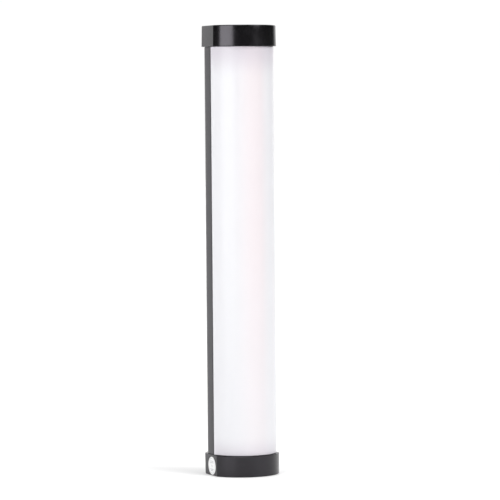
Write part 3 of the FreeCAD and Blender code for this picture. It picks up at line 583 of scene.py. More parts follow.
def plain_copy(piece):
    """Applies a piece's modifiers by swapping in its evaluated mesh."""
    graph = bpy.context.evaluated_depsgraph_get()
    mesh = bpy.data.meshes.new_from_object(piece.evaluated_get(graph))
    piece.modifiers.clear()
    piece.data = mesh
    return piece


def combine(piece, others, operation):
    """Adds pieces to a piece, or cuts them from it, and deletes them."""
    for other in others:
        change = piece.modifiers.new("change", "BOOLEAN")
        change.operation, change.solver, change.object = operation, "EXACT", other
        plain_copy(piece)
        bpy.data.objects.remove(other)
    return piece


def round_edges(piece, width, steps):
    """Breaks a piece's hard edges, as a tumbler does."""
    bevel = piece.modifiers.new("edges", "BEVEL")
    bevel.width, bevel.segments, bevel.angle_limit = width, steps, math.radians(35)
    bevel.limit_method, bevel.harden_normals = "ANGLE", False
    return plain_copy(piece)


def paint(piece, *finishes):
    piece.data.materials.clear()
    for finish in finishes:
        piece.data.materials.append(FINISHES[finish])


def attach(piece, slot, *nodes, body=ROOT):
    """Gives a piece its body and hides the CAD nodes that it stands for. Its slot argument is not used."""
    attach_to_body(piece, body)
    if nodes:
        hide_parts(*nodes)
    triangles = sum(len(face.vertices) - 2 for face in piece.data.polygons)
    print(f"{piece.name}: {triangles} triangles, stands for {', '.join(nodes) or 'no CAD node'}")


def dress(piece, slot, *nodes, finish=None, body=ROOT, sharp=32):
    """Paints a piece, unless it is painted already, smooths all but its hard edges, and attaches it."""
    if finish is not None:
        paint(piece, finish)
    piece.data.shade_smooth()
    piece.data.set_sharp_from_angle(angle=math.radians(sharp))
    attach(piece, slot, *nodes, body=body)
    return piece


# %% [markdown]
# ## Geometry trees
#
# Four trees build what follows a rule. `long_section` draws a closed section out along the tube, as a
# die does, for the rail and the diffuser. `even_row` sets copies of a small piece in a row, for lamps
# and contacts. `copies_at_points` sets a copy at each given point, for screws. `thread_ridge` winds a
# ridge along a helix. Each takes its sizes through named inputs.

# %% Tree helpers


def new_tree(name, **inputs):
    """A geometry tree with a geometry input, the named inputs, a finish and a geometry output."""
    tree = bpy.data.node_groups.new(name, "GeometryNodeTree")
    for label, kind in {"Geometry": "Geometry", **inputs, "Finish": "Material"}.items():
        tree.interface.new_socket(name=label, in_out="INPUT", socket_type="NodeSocket" + kind)
    tree.interface.new_socket(name="Geometry", in_out="OUTPUT", socket_type="NodeSocketGeometry")
    return tree, tree.nodes.new("NodeGroupInput").outputs


def end_tree(tree, given, grown):
    """Realizes the copies, sets the material and passes the geometry out."""
    real = node(tree, "GeometryNodeRealizeInstances", {0: grown}).outputs[0]
    painted = node(tree, "GeometryNodeSetMaterial", {"Geometry": real, "Material": given["Finish"]})
    node(tree, "NodeGroupOutput", {0: painted.outputs[0]})
    return tree


def grow(name, tree, mesh, finish, **values):
    """Runs a tree on a mesh and returns the result as a plain piece."""
    values["Finish"] = FINISHES[finish]
    host = bpy.data.objects.new(name, mesh)
    bpy.context.scene.collection.objects.link(host)
    modifier = host.modifiers.new("tree", "NODES")
    modifier.node_group = tree
    for item in tree.interface.items_tree:
        if item.in_out == "INPUT" and item.name in values:
            modifier[item.identifier] = values[item.name]
    return plain_copy(host)


def points_mesh(name, points=((0, 0, 0),)):
    mesh = bpy.data.meshes.new(name)
    mesh.from_pydata(points, [], [])
    return mesh


# %% Tree: long section


def make_long_section():
    tree, given = new_tree("long_section", Length="Float")
    section = given["Geometry"]
    offset = node(tree, "ShaderNodeCombineXYZ", {"Z": given["Length"]}).outputs[0]
    draw = {"Mesh": section, "Offset": offset, "Offset Scale": 1.0, "Individual": False}
    walls = node(tree, "GeometryNodeExtrudeMesh", draw).outputs["Mesh"]
    base = node(tree, "GeometryNodeFlipFaces", {"Mesh": section}).outputs[0]
    joined = node(tree, "GeometryNodeJoinGeometry", {0: walls})
    feed(tree, joined, {0: base})
    weld = {"Geometry": joined.outputs[0], "Distance": 1e-7}
    return end_tree(tree, given, node(tree, "GeometryNodeMergeByDistance", weld).outputs[0])


LONG_SECTION = make_long_section()


def drawn(name, outline, finish):
    """A piece of constant section, as long as the rail."""
    mesh = bpy.data.meshes.new(name)
    mesh.from_pydata(at_height(outline, rail_low.z), [], [list(range(len(outline)))])
    return grow(name, LONG_SECTION, mesh, finish, Length=rail_high.z - rail_low.z)


print("tree:", LONG_SECTION.name)

# %% Trees: even row, copies at points and thread ridge
HELIX_STEPS = 40


def copies_of(tree, piece, spots):
    source = node(tree, "GeometryNodeObjectInfo", {"Object": piece}).outputs["Geometry"]
    return node(tree, "GeometryNodeInstanceOnPoints", {"Points": spots, "Instance": source}).outputs[0]


def make_even_row():
    tree, given = new_tree("even_row", Piece="Object", Count="Int", First="Vector", Step="Vector")
    line = {"Count": given["Count"], "Start Location": given["First"], "Offset": given["Step"]}
    spots = node(tree, "GeometryNodeMeshLine", line, mode="OFFSET").outputs[0]
    return end_tree(tree, given, copies_of(tree, given["Piece"], spots))


def make_copies_at_points():
    tree, given = new_tree("copies_at_points", Piece="Object")
    return end_tree(tree, given, copies_of(tree, given["Piece"], given["Geometry"]))


def make_thread_ridge():
    tree, given = new_tree("thread_ridge", Turns="Float", Radius="Float", Rise="Float", Ridge="Float")
    helix = {"Resolution": HELIX_STEPS, "Rotations": given["Turns"], "Height": given["Rise"]}
    helix.update({"Start Radius": given["Radius"], "End Radius": given["Radius"]})
    path = node(tree, "GeometryNodeCurveSpiral", helix).outputs[0]
    triangle = {"Resolution": 3, "Radius": given["Ridge"]}
    ridge = node(tree, "GeometryNodeCurvePrimitiveCircle", triangle).outputs[0]
    sweep = {"Curve": path, "Profile Curve": ridge, "Fill Caps": True}
    return end_tree(tree, given, node(tree, "GeometryNodeCurveToMesh", sweep).outputs[0])


EVEN_ROW = make_even_row()
COPIES = make_copies_at_points()
THREAD = make_thread_ridge()
print("trees:", EVEN_ROW.name, COPIES.name, THREAD.name)

# %% [markdown]
# ## Diffuser
#
# The diffuser is a long extrusion of opal plastic: a thick arc with a leg along each edge, and a small
# barb that snaps into the rail. It is the piece that fills the view, so its arc has many faces. A bent
# sheet would be simpler, but its thickness shows at the seam and at the ends.

# %% Draw the diffuser
DIFFUSER_WALL = 1.5 * MM
LEG_INNER, LEG_OUTER = 16.1 * MM, 17.5 * MM
SEAM_ROUND, SEAM_GAP = 0.25 * MM, 0.06 * MM
BARB_FRONT, BARB_TIP, BARB_REAR = -1.5 * MM, -1.4 * MM, -0.7 * MM
BARB_REACH = 0.4 * MM


def diffuser_outline():
    edge_y = seam_front - SEAM_GAP
    leg_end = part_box("diffuser")[1].y
    inner = tube_radius - DIFFUSER_WALL
    edge_turn = math.degrees(math.asin(-edge_y / tube_radius))
    leg_turn = math.degrees(math.acos(LEG_INNER / inner))
    edge_x = tube_radius * math.cos(math.radians(edge_turn))
    half = [
        (edge_x - SEAM_ROUND, edge_y),
        (LEG_OUTER, edge_y),
        (LEG_OUTER, BARB_FRONT),
        (LEG_OUTER + BARB_REACH, BARB_TIP),
        (LEG_OUTER, BARB_REAR),
        (LEG_OUTER, leg_end),
        (LEG_INNER, leg_end),
    ]
    inside = arc((0, 0), inner, -leg_turn, -180 + leg_turn, FRONT_STEPS)
    start = edge_turn + math.degrees(SEAM_ROUND / tube_radius)
    outside = arc((0, 0), tube_radius, 180 + start, 360 - start, FRONT_STEPS * 2)
    return half + inside + mirrored(half) + outside


diffuser = drawn("opal_diffuser", diffuser_outline(), "opal_plastic")
dress(diffuser, "opal_plastic", "diffuser")

# %% [markdown]
# ## Rail
#
# The rail is one aluminium extrusion, open at the front. Inside it has a ledge on each side for the
# lamp carrier, and four screw ports for the caps. Outside it is flat at both sides and at the back,
# where the display window and the key holes are cut after extrusion, so each cut has a fine chamfer.

# %% Draw the rail
RAIL_WALL = 1.6 * MM
RAIL_CORNER = 0.5 * MM
SEAM_EDGE = 0.7 * MM
EDGE_STEPS = 6
LEDGE_INNER = 11.9 * MM
GROOVE_DEPTH, GROOVE_REAR, GROOVE_FRONT = 0.5 * MM, -0.6 * MM, -1.6 * MM
PORTS = [(15.3 * MM, 3.6 * MM, 2.4 * MM), (9.6 * MM, 13.0 * MM, 2.1 * MM)]
PORT_HOLE = 1.25 * MM
ledge_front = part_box("led_carrier")[1].y
ledge_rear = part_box("driver_board")[0].y
inner_side, inner_back = tube_side - RAIL_WALL, tube_back - RAIL_WALL


def rail_outline():
    skin = flat_sided(tube_radius, tube_side, tube_back, RAIL_CORNER)
    outside = [point for point in skin if point[1] > seam_front + SEAM_EDGE and point[0] > 0]
    seam_edge = arc((tube_side - SEAM_EDGE, seam_front + SEAM_EDGE), SEAM_EDGE, -90, 0, EDGE_STEPS)
    inner_radius = tube_radius - RAIL_WALL
    rear_turn = math.degrees(math.asin(inner_back / inner_radius))
    side_turn = math.degrees(math.acos(inner_side / inner_radius))
    groove = inner_side + GROOVE_DEPTH
    half = arc((0, 0), inner_radius, rear_turn, side_turn, REAR_STEPS)
    half += [
        (inner_side, ledge_rear),
        (LEDGE_INNER, ledge_rear),
        (LEDGE_INNER, ledge_front),
        (inner_side, ledge_front),
        (inner_side, GROOVE_REAR),
        (groove, GROOVE_REAR),
        (groove, GROOVE_FRONT),
        (inner_side, GROOVE_FRONT),
        (inner_side, seam_front),
    ]
    half += seam_edge + outside
    return half + mirrored(half)


def port_tube(x, y, radius):
    """One screw port: a thick tube along the whole rail."""
    low, high = rail_low.z, rail_high.z
    profile = [(PORT_HOLE, low), (radius, low), (radius, high), (PORT_HOLE, high)]
    return lathe("port", profile, centre=(x, y, 0), steps=32, closed=True)


rail = drawn("rail", rail_outline(), "anodised_rail")
print("rail outline points:", len(rail_outline()))

# %% Cut the display recess and the key holes
KEYS = ("power", "mode", "down", "up")
KEY_HOLE = 3.25 * MM
CHAMFER = 0.15 * MM
BEYOND = 1.0 * MM
LENS_PLAY = 0.1 * MM
RECESS_CORNER = 0.9 * MM
WINDOW_WIDE, WINDOW_LONG, WINDOW_CORNER = 7 * MM, 23 * MM, 0.6 * MM
lens_low, lens_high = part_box("display_lens")
lens_middle = (lens_low + lens_high) / 2
lens_wide, lens_long = lens_high.x - lens_low.x, lens_high.z - lens_low.z
key_boxes = {key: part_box(f"{key}_button") for key in KEYS}
key_places = {key: (low.z + high.z) / 2 for key, (low, high) in key_boxes.items()}


def rounded_box(name, centre, wide, long, y_from, y_to, corner, flare=0.0):
    """A block seen from the back, with round corners and a flare at its outer face."""
    levels = [(y_from, 0), (y_to - flare, 0)]
    if flare:
        levels += [(y_to, flare), (y_to + BEYOND, flare)]
    rings = []
    for depth, grown in levels:
        sizes = (wide / 2 + grown, long / 2 + grown, corner + grown)
        outline = round_rectangle((centre.x, centre.z), *sizes, EDGE_STEPS)
        rings.append([(x, depth, z) for x, z in outline])
    return loft(name, rings)


def back_hole(name, height, radius):
    """A drill with a chamfering shoulder, for a hole in the rail's back."""
    profile = [
        (radius, inner_back - BEYOND),
        (radius, tube_back - CHAMFER),
        (radius + CHAMFER, tube_back),
        (radius + CHAMFER, tube_back + BEYOND),
    ]
    return lathe(name, profile, centre=(0, 0, height), axis="Y", steps=64)


recess = (lens_wide + 2 * LENS_PLAY, lens_long + 2 * LENS_PLAY, lens_low.y, tube_back, RECESS_CORNER, CHAMFER)
window = (WINDOW_WIDE, WINDOW_LONG, inner_back - BEYOND, lens_low.y + BEYOND / 2, WINDOW_CORNER)
cutters = [rounded_box("recess", lens_middle, *recess), rounded_box("window", lens_middle, *window)]
cutters += [back_hole(f"hole_{key}", place, KEY_HOLE) for key, place in key_places.items()]
combine(rail, cutters, "DIFFERENCE")
combine(rail, [port_tube(side * x, y, radius) for side in (-1, 1) for x, y, radius in PORTS], "UNION")
dress(rail, "anodised_rail", "housing", finish="anodised_rail", sharp=14)

# %% [markdown]
# ## End caps
#
# Each cap is one moulding. Its outside leans out by one degree towards its mouth, so that it leaves
# the mould, and its end edge has a small radius. Inside are four screw columns, a lip that reaches into
# the diffuser, and a seat for a magnet. The lower cap also has a boss for the stand thread and a slot
# for the charging plug. The skin is a loft of rings, and the details are added and cut.

# %% Cap shell
CAP_LEAN = math.radians(1)
CAP_DRAFT = math.tan(CAP_LEAN)
CAP_CORNER = 0.45 * MM
CAP_EDGE = 0.55 * MM
RIM_ROUND = 0.12 * MM
END_WALL = 2.4 * MM
CAVITY = (17.7 * MM, 17.5 * MM, 15.9 * MM)
end_radius = cap_mouth_radius - cap_height * CAP_DRAFT
end_side = cap_mouth_side - cap_height * CAP_DRAFT


def cap_ring(height, inset=0.0):
    """The cap's outside at a height above its end face."""
    grown = height * CAP_DRAFT
    outline = flat_sided(end_radius + grown, end_side + grown, cap_back, CAP_CORNER, inset)
    return at_height(outline, height)


def cap_shell(name):
    rings = []
    for step in range(EDGE_STEPS, -1, -1):
        turn = math.radians(90 * step / EDGE_STEPS)
        rings.append(cap_ring(CAP_EDGE * (1 - math.sin(turn)), CAP_EDGE * (1 - math.cos(turn))))
    rings += [cap_ring(height) for height in (4 * MM, 8 * MM, cap_height - RIM_ROUND)]
    rings.append(cap_ring(cap_height, RIM_ROUND))
    rings += [at_height(flat_sided(*CAVITY, CAP_CORNER), height) for height in (cap_height, END_WALL)]
    return loft(name, rings)


print("cap end radius", round(end_radius / MM, 2), "mouth radius", round(cap_mouth_radius / MM, 2))

# %% Cap details
COLUMN_RADIUS = 3.0 * MM
SCREW_HOLE = 1.35 * MM
COUNTERBORE = (2.5 * MM, 5.0 * MM)
LIP = (17.9 * MM, 16.3 * MM, 15.4 * MM)
LIP_STEPS = 40
FOOT = END_WALL - 0.2 * MM
insert_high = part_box("stand_insert")[1]
usb_low, usb_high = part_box("usb_socket")
magnet_low, magnet_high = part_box("bottom_magnet")
port_spots = [(side * x, y) for x, y, _ in PORTS for side in (-1, 1)]


def chamfered_drill(name, x, y, radius, depth):
    """Cuts a hole from the end face upwards, with a chamfer at its mouth."""
    profile = [(radius + CHAMFER, -BEYOND), (radius + CHAMFER, 0), (radius, CHAMFER), (radius, depth)]
    return lathe(name, profile, centre=(x, y, 0))


def cap_lip(name):
    outer, inner, half_wide = LIP
    outer_turn = math.degrees(math.asin(half_wide / outer))
    inner_turn = math.degrees(math.asin(half_wide / inner))
    outline = arc((0, 0), outer, 270 - outer_turn, 270 + outer_turn, LIP_STEPS)
    outline += arc((0, 0), inner, 270 + inner_turn, 270 - inner_turn, LIP_STEPS)
    return loft(name, [at_height(outline, FOOT), at_height(outline, lip_top)])


def make_cap(name):
    column = [(COLUMN_RADIUS, FOOT), (COLUMN_RADIUS, cap_height - 0.01 * MM)]
    columns = [lathe("column", column, centre=(x, y, 0), steps=40) for x, y in port_spots]
    cap = combine(cap_shell(name), columns + [cap_lip("lip")], "UNION")
    hole = [(SCREW_HOLE, MM), (SCREW_HOLE, cap_height + BEYOND)]
    holes = [chamfered_drill("seat", x, y, *COUNTERBORE) for x, y in port_spots]
    holes += [lathe("hole", hole, centre=(x, y, 0), steps=32) for x, y in port_spots]
    magnet_radius = (magnet_high.z - magnet_low.z) / 2
    magnet_height = (magnet_high.z + magnet_low.z) / 2
    seat = [(magnet_radius, CAVITY[2] - BEYOND), (magnet_radius, magnet_high.y)]
    holes.append(lathe("magnet_seat", seat, centre=(0, 0, magnet_height), axis="Y"))
    return combine(cap, holes, "DIFFERENCE")


def turn_to_top(piece):
    """Turns a piece made at the lower end over to the upper end, about the Y direction."""
    piece.data.transform(Matrix.Translation((0, 0, top_of_tube)) @ Matrix.Rotation(math.pi, 4, "Y"))
    return piece


top_cap = turn_to_top(make_cap("upper_end_cap"))
dress(top_cap, "black_moulding", "top_cap", finish="black_moulding", sharp=14)

# %% Lower cap with its boss, thread seat and plug slot
USB_PLAY = 0.32 * MM
BOSS_RADIUS = 6.2 * MM
BOSS_RISE = 0.4 * MM
port_y = (usb_low.y + usb_high.y) / 2


def slot_ring(inset, height):
    """The charging slot's outline, with round ends."""
    half_wide = (usb_high.x - usb_low.x) / 2 + USB_PLAY + inset
    half_deep = (usb_high.y - usb_low.y) / 2 + USB_PLAY + inset
    right = arc((half_wide - half_deep, port_y), half_deep, -90, 90, 16)
    left = arc((half_deep - half_wide, port_y), half_deep, 90, 270, 16)
    return at_height(right + left, height)


bottom_cap = make_cap("lower_end_cap")
boss = lathe("boss", [(BOSS_RADIUS, FOOT), (BOSS_RADIUS, insert_high.z + BOSS_RISE)], steps=64)
combine(bottom_cap, [boss], "UNION")
bore = chamfered_drill("bore", 0, 0, insert_high.x, insert_high.z)
slot_levels = [(CHAMFER, -BEYOND), (CHAMFER, 0), (0, CHAMFER), (0, END_WALL + BEYOND / 5)]
plug_slot = loft("plug_slot", [slot_ring(*level) for level in slot_levels])
combine(bottom_cap, [bore, plug_slot], "DIFFERENCE")
dress(bottom_cap, "black_moulding", "bottom_cap", finish="black_moulding", sharp=14)

# %% [markdown]
# ## Gaskets
#
# A thin black gasket sits between each cap and the tube. Only its edge shows, as a fine dark line, so
# it is a flat ring with a slightly bulging edge.

# %% Make both gaskets
GASKET_INSET = 0.3 * MM
GASKET_BULGE = 0.08 * MM
GASKET_HOLE = (18.0 * MM, 17.7 * MM, CAVITY[2])


def gasket(name, cad_node):
    low, high = [corner.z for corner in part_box(cad_node)]
    skin = [size - GASKET_INSET for size in (tube_radius, tube_side, tube_back)]
    hole = flat_sided(*GASKET_HOLE, RAIL_CORNER)
    edge = flat_sided(*skin, RAIL_CORNER, GASKET_BULGE)
    rings = [at_height(hole, low), at_height(edge, low)]
    rings.append(at_height(flat_sided(*skin, RAIL_CORNER), (low + high) / 2))
    rings += [at_height(edge, high), at_height(hole, high)]
    dress(loft(name, rings, closed=True), "black_rubber", cad_node, finish="black_rubber")


gasket("lower_seal", "lower_gasket")
gasket("upper_seal", "upper_gasket")

# %% [markdown]
# ## Sticker
#
# The sticker is a disc of film on the lower cap's left flat. The flat leans with the cap's draft, so the
# disc leans with it. Its edge is slightly rounded down, as a die-cut label's is.

# %% Stick the label on
STICKER_FILM = 0.12 * MM
sticker_radius = (sticker_high.z - sticker_low.z) / 2
sticker_profile = [
    (0, 0),
    (sticker_radius, 0),
    (sticker_radius, STICKER_FILM * 0.5),
    (sticker_radius - 0.08 * MM, STICKER_FILM * 0.9),
    (sticker_radius - 0.3 * MM, STICKER_FILM),
    (0, STICKER_FILM),
]
sticker = lathe("inspection_label", sticker_profile, steps=96)
flat_x = end_side + sticker_middle.z * CAP_DRAFT
place = Matrix.Translation((-flat_x, sticker_middle.y, sticker_middle.z))
sticker.data.transform(place @ Matrix.Rotation(-math.pi / 2 - CAP_LEAN, 4, "Y"))
dress(sticker, "label_paper", "inspection_sticker", finish="label_film")

# %% [markdown]
# ## Cap screws
#
# Four identical pan-head screws hold each cap. One screw is turned on a lathe and gets a cross recess,
# and a tree sets a copy at each port. Its shank has rings for the thread, which few will ever see.

# %% One screw, then four at each end
SCREW_HEAD = (2.25 * MM, 1.6 * MM)
SCREW_SHANK = 1.2 * MM
SCREW_RINGS, RING_PITCH, RING_DEPTH = 13, 1.0 * MM, 0.22 * MM
CROSS_SPAN, CROSS_WIDE, CROSS_DEEP = 2.5 * MM, 0.55 * MM, 0.9 * MM
screw_low, screw_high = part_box("lower_cap_screws")


def screw_profile():
    head, thick = SCREW_HEAD
    length = screw_high.z - screw_low.z
    profile = [(0, 0), (head * 0.55, 0.02 * MM), (head * 0.85, 0.18 * MM), (head * 0.98, 0.5 * MM)]
    profile += [(head, 0.8 * MM), (head, thick), (SCREW_SHANK, thick)]
    for ring in range(SCREW_RINGS):
        foot = thick + 0.4 * MM + ring * RING_PITCH
        profile.append((SCREW_SHANK - RING_DEPTH, foot + RING_PITCH * 0.3))
        profile.append((SCREW_SHANK, foot + RING_PITCH * 0.8))
    return profile + [(SCREW_SHANK - RING_DEPTH, length - 0.3 * MM), (0, length)]


def cross_cutter(name):
    """Two crossed blades that cut a screw's recess."""
    arm, half = CROSS_SPAN / 2, CROSS_WIDE / 2
    corners = [(arm, -half), (arm, half), (half, half), (half, arm), (-half, arm), (-half, half)]
    outline = corners + [(-x, -y) for x, y in corners]
    small = [(x * 0.6, y * 0.6) for x, y in outline]
    levels = [(outline, -BEYOND), (outline, CROSS_DEEP * 0.4), (small, CROSS_DEEP)]
    return loft(name, [at_height(*level) for level in levels])


def make_screws(name, cad_node):
    screw = lathe("screw", screw_profile(), steps=32)
    combine(screw, [cross_cutter("recess")], "DIFFERENCE")
    spots = points_mesh(name, [(x, y, screw_low.z) for x, y in port_spots])
    made = grow(name, COPIES, spots, "black_steel", Piece=screw)
    bpy.data.objects.remove(screw)
    if cad_node == "upper_cap_screws":
        turn_to_top(made)
    dress(made, "black_steel", cad_node, finish="black_steel")


make_screws("lower_screws", "lower_cap_screws")
make_screws("upper_screws", "upper_cap_screws")

# %% [markdown]
# ## Stand thread
#
# The brass insert is turned, with a chamfer at its mouth and a groove outside that grips the plastic.
# The stand screws into a real helical ridge: a tree winds a three-sided ridge up the bore.

# %% Brass insert and its thread
THREAD_PITCH = 1.27 * MM
THREAD_MAJOR, THREAD_MINOR = 3.1 * MM, 2.55 * MM
THREAD_START, THREAD_ENDS = 0.8 * MM, 1.6 * MM
GRIP_DEPTH = 0.25 * MM


def brass_finish():
    material, tree, shader = new_finish("insert_brass")
    rings = placed(tree, RINGS, Centre=(0, 0, 0), Rings=14000.0)
    grain = placed(tree, GRAIN, Scale=1500.0)
    tone = spread(tree, grain["Tone"], 0, 1)
    given = {
        "Base Color": mix_colours(tree, tone, (0.66, 0.43, 0.15), (0.78, 0.56, 0.24)),
        "Roughness": spread(tree, grain["Height"], 0.2, 0.34),
        "Normal": bump_from(tree, rings["Height"], 0.25, 0.004 * MM),
        "Metallic": 1.0,
    }
    feed(tree, shader, given)
    return material


FINISHES["insert_brass"] = brass_finish()
insert_radius, insert_depth = insert_high.x, insert_high.z
insert_rings = [
    (THREAD_MAJOR, insert_depth),
    (THREAD_MAJOR, 0.5 * MM),
    (THREAD_MAJOR + 0.35 * MM, 0.02 * MM),
    (insert_radius - 0.15 * MM, 0.02 * MM),
    (insert_radius, 0.17 * MM),
    (insert_radius, 1.4 * MM),
    (insert_radius - GRIP_DEPTH, 1.6 * MM),
    (insert_radius - GRIP_DEPTH, 2.2 * MM),
    (insert_radius, 2.4 * MM),
    (insert_radius, insert_depth),
]
insert = lathe("thread_insert", insert_rings, steps=64, closed=True)
dress(insert, "insert_brass", "stand_insert", finish="insert_brass")
turns_that_fit = (insert_depth - THREAD_ENDS) / THREAD_PITCH
ridge_radius = (THREAD_MAJOR - THREAD_MINOR) * 0.72
helix = {"Turns": turns_that_fit, "Rise": turns_that_fit * THREAD_PITCH}
helix.update({"Radius": THREAD_MAJOR - ridge_radius * 0.3, "Ridge": ridge_radius})
ridge = grow("thread_ridge", THREAD, points_mesh("ridge"), "insert_brass", **helix)
ridge.data.transform(Matrix.Translation((0, 0, THREAD_START)))
attach(ridge, "insert_brass")
print("thread turns:", round(turns_that_fit, 2))

# %% [markdown]
# ## Charging port
#
# A drawn steel shell with a plastic tongue inside it. The tongue carries a row of gilt contacts on each
# face, which a tree lays out evenly.

# %% Port shell and tongue
USB_CORNER = 1.2 * MM
SHELL_WALL = 0.3 * MM
SHELL_ROUND = 0.08 * MM
TONGUE_CORNER = 0.3 * MM


def port_ring(inset, height):
    half_x, half_y = usb_high.x - inset, (usb_high.y - usb_low.y) / 2 - inset
    return at_height(round_rectangle((0, port_y), half_x, half_y, USB_CORNER - inset, 8), height)


shell_rings = [
    port_ring(0.0, usb_high.z),
    port_ring(0.0, usb_low.z + SHELL_ROUND),
    port_ring(SHELL_ROUND, usb_low.z),
    port_ring(SHELL_WALL - SHELL_ROUND, usb_low.z),
    port_ring(SHELL_WALL, usb_low.z + SHELL_ROUND),
    port_ring(SHELL_WALL, usb_high.z - 3 * SHELL_WALL),
]
dress(loft("port_shell", shell_rings), "bright_steel", "usb_socket", finish="port_steel")
tongue_low, tongue_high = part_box("usb_tongue")
tongue_size, tongue_middle = tongue_high - tongue_low, (tongue_low + tongue_high) / 2
block = (tongue_size.x, tongue_size.z, tongue_low.y, tongue_high.y, TONGUE_CORNER)
tongue = rounded_box("port_tongue", tongue_middle, *block)
dress(tongue, "switch_plastic", "usb_tongue", finish="switch_nylon")

# %% Contacts
CONTACTS = 12
CONTACT_HALF, CONTACT_THICK, CONTACT_STRETCH = 0.12 * MM, 0.02 * MM, 14
contact_step = Vector((0.5 * MM, 0, 0))
contact = lathe("contact", [(CONTACT_HALF, 0), (CONTACT_HALF, CONTACT_THICK)], axis="Y", steps=8)
contact.data.transform(Matrix.Diagonal((1, 1, CONTACT_STRETCH, 1)))
for name, depth in (("front_contacts", tongue_low.y - CONTACT_THICK), ("rear_contacts", tongue_high.y)):
    first = Vector((-contact_step.x * (CONTACTS - 1) / 2, depth, tongue_middle.z - 0.6 * MM))
    layout = {"Piece": contact, "Count": CONTACTS, "First": first, "Step": contact_step}
    attach(grow(name, EVEN_ROW, points_mesh(name), "gilt", **layout), "insert_brass")
bpy.data.objects.remove(contact)

# %% [markdown]
# ## Display window
#
# The window is a smoked plate with rounded corners, set just below the rail's back. It is nearly black
# when the display is off, with the panel behind it a shade lighter.

# %% Smoked window


def window_finish():
    material, tree, shader = new_finish("smoked_window")
    across, _, along = parts_of(tree, coordinates(tree))
    wide = within(tree, across, 0, 3.4 * MM)
    long = within(tree, along, lens_middle.z, 11.3 * MM)
    panel = calculate(tree, "MULTIPLY", wide, long)
    smudges = placed(tree, SMUDGES, Scale=140.0, Cover=0.5)
    colour = mix_colours(tree, panel, (0.006, 0.006, 0.007), (0.018, 0.02, 0.023))
    gloss = spread(tree, smudges["Mask"], 0.05, 0.13, 0, 1)
    feed(tree, shader, {"Base Color": colour, "Roughness": gloss})
    return material


FINISHES["smoked_window"] = window_finish()
lens = rounded_box("smoked_lens", lens_middle, lens_wide, lens_long, lens_low.y, lens_high.y, 0.8 * MM)
round_edges(lens, 0.12 * MM, 3)
dress(lens, "dark_window", "display_lens", finish="smoked_window")

# %% [markdown]
# ## Keys
#
# Each key is a low round button with a slightly dished top and a flange that keeps it in the rail. A
# small raised print on top tells them apart: a ring with a bar for power, three dots for mode, a bar for
# down and a cross for up. The print is part of the key's own mesh, so it travels with it.

# %% Key outlines and marks
KEY_RADIUS = 3.1 * MM
KEY_FLANGE = (3.9 * MM, 0.6 * MM)
KEY_EDGE = 0.1 * MM
DISH = 0.14 * MM
PRINT_RISE, PRINT_SINK = 0.03 * MM, 0.05 * MM
STROKE = 0.32 * MM
SIGN = 2.2 * MM


def key_profile(height):
    flange, thick = KEY_FLANGE
    return [
        (0, 0),
        (flange - KEY_EDGE, 0),
        (flange, KEY_EDGE),
        (flange, thick - KEY_EDGE),
        (flange - KEY_EDGE, thick),
        (KEY_RADIUS, thick),
        (KEY_RADIUS, height - 0.35 * MM),
        (KEY_RADIUS - KEY_EDGE, height - 0.12 * MM),
        (KEY_RADIUS - 0.35 * MM, height),
        (KEY_RADIUS - 0.6 * MM, height - 0.02 * MM),
        (KEY_RADIUS * 0.5, height - DISH * 0.8),
        (0, height - DISH),
    ]


def bar(wide, tall, centre_z=0):
    """A straight stroke as an outline in X and Z."""
    x, z = wide / 2, tall / 2
    return [(-x, centre_z - z), (x, centre_z - z), (x, centre_z + z), (-x, centre_z + z)]


def band(radius, start, stop):
    half = STROKE / 2
    return arc((0, 0), radius + half, start, stop, 28) + arc((0, 0), radius - half, stop, start, 28)


MARKS = {
    "power": [band(1.15 * MM, 125, 415), bar(STROKE, 1.3 * MM, 0.95 * MM)],
    "mode": [arc((x * MM, 0), 0.3 * MM, 0, 360, 16)[:-1] for x in (-1, 0, 1)],
    "down": [bar(SIGN, STROKE)],
    "up": [bar(SIGN, STROKE), bar(STROKE, SIGN)],
}
print("marks:", ", ".join(MARKS))

# %% Turn the keys and print their marks


def print_mark(work, outline, low, high, middle):
    """Adds a low raised solid to a mesh and gives it the second finish."""
    rings = [[work.verts.new((x, depth, middle + z)) for x, z in outline] for depth in (low, high)]
    faces = [work.faces.new(rings[0]), work.faces.new(rings[1][::-1])]
    for step in range(len(outline)):
        after = (step + 1) % len(outline)
        faces.append(work.faces.new((rings[0][step], rings[1][step], rings[1][after], rings[0][after])))
    for face in faces:
        face.material_index = 1
    bmesh.ops.recalc_face_normals(work, faces=faces)


for key, (key_low, key_high) in key_boxes.items():
    middle, top = key_places[key], key_high.y - DISH
    profile = key_profile(key_high.y - key_low.y)
    button = lathe(f"{key}_key_cap", profile, centre=(0, key_low.y, middle), axis="Y", steps=72)
    paint(button, "key_plastic", "key_print")
    work = bmesh.new()
    work.from_mesh(button.data)
    for outline in MARKS[key]:
        print_mark(work, outline, top - PRINT_SINK, top + PRINT_RISE, middle)
    work.to_mesh(button.data)
    work.free()
    dress(button, "key_plastic", f"{key}_button", body=f"{key}_key")

# %% [markdown]
# ## Lamps
#
# Behind the diffuser three columns of small lamps sit on a white board: warm at one side, cool at the
# other and colour in the middle. One lamp is a low package with a round cup of phosphor, and the row
# tree repeats it up the board, so the three columns are the same tree with three finishes.

# %% Three columns of lamps
LAMP_ROWS = 26
LAMP_LONG = 3.5 * MM
CUP_RADIUS, CUP_DEPTH, CUP_TAPER, CUP_EDGES = 1.1 * MM, 0.25 * MM, 0.85, 12
COLUMNS = {
    "warm_leds": ("warm_phosphor", "warm_phosphor"),
    "rgb_leds": ("clear_phosphor", "clear_lamp"),
    "cool_leds": ("cool_phosphor", "cool_phosphor"),
}
led_low, led_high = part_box("rgb_leds")
lamp_pitch = (led_high.z - led_low.z - LAMP_LONG) / (LAMP_ROWS - 1)


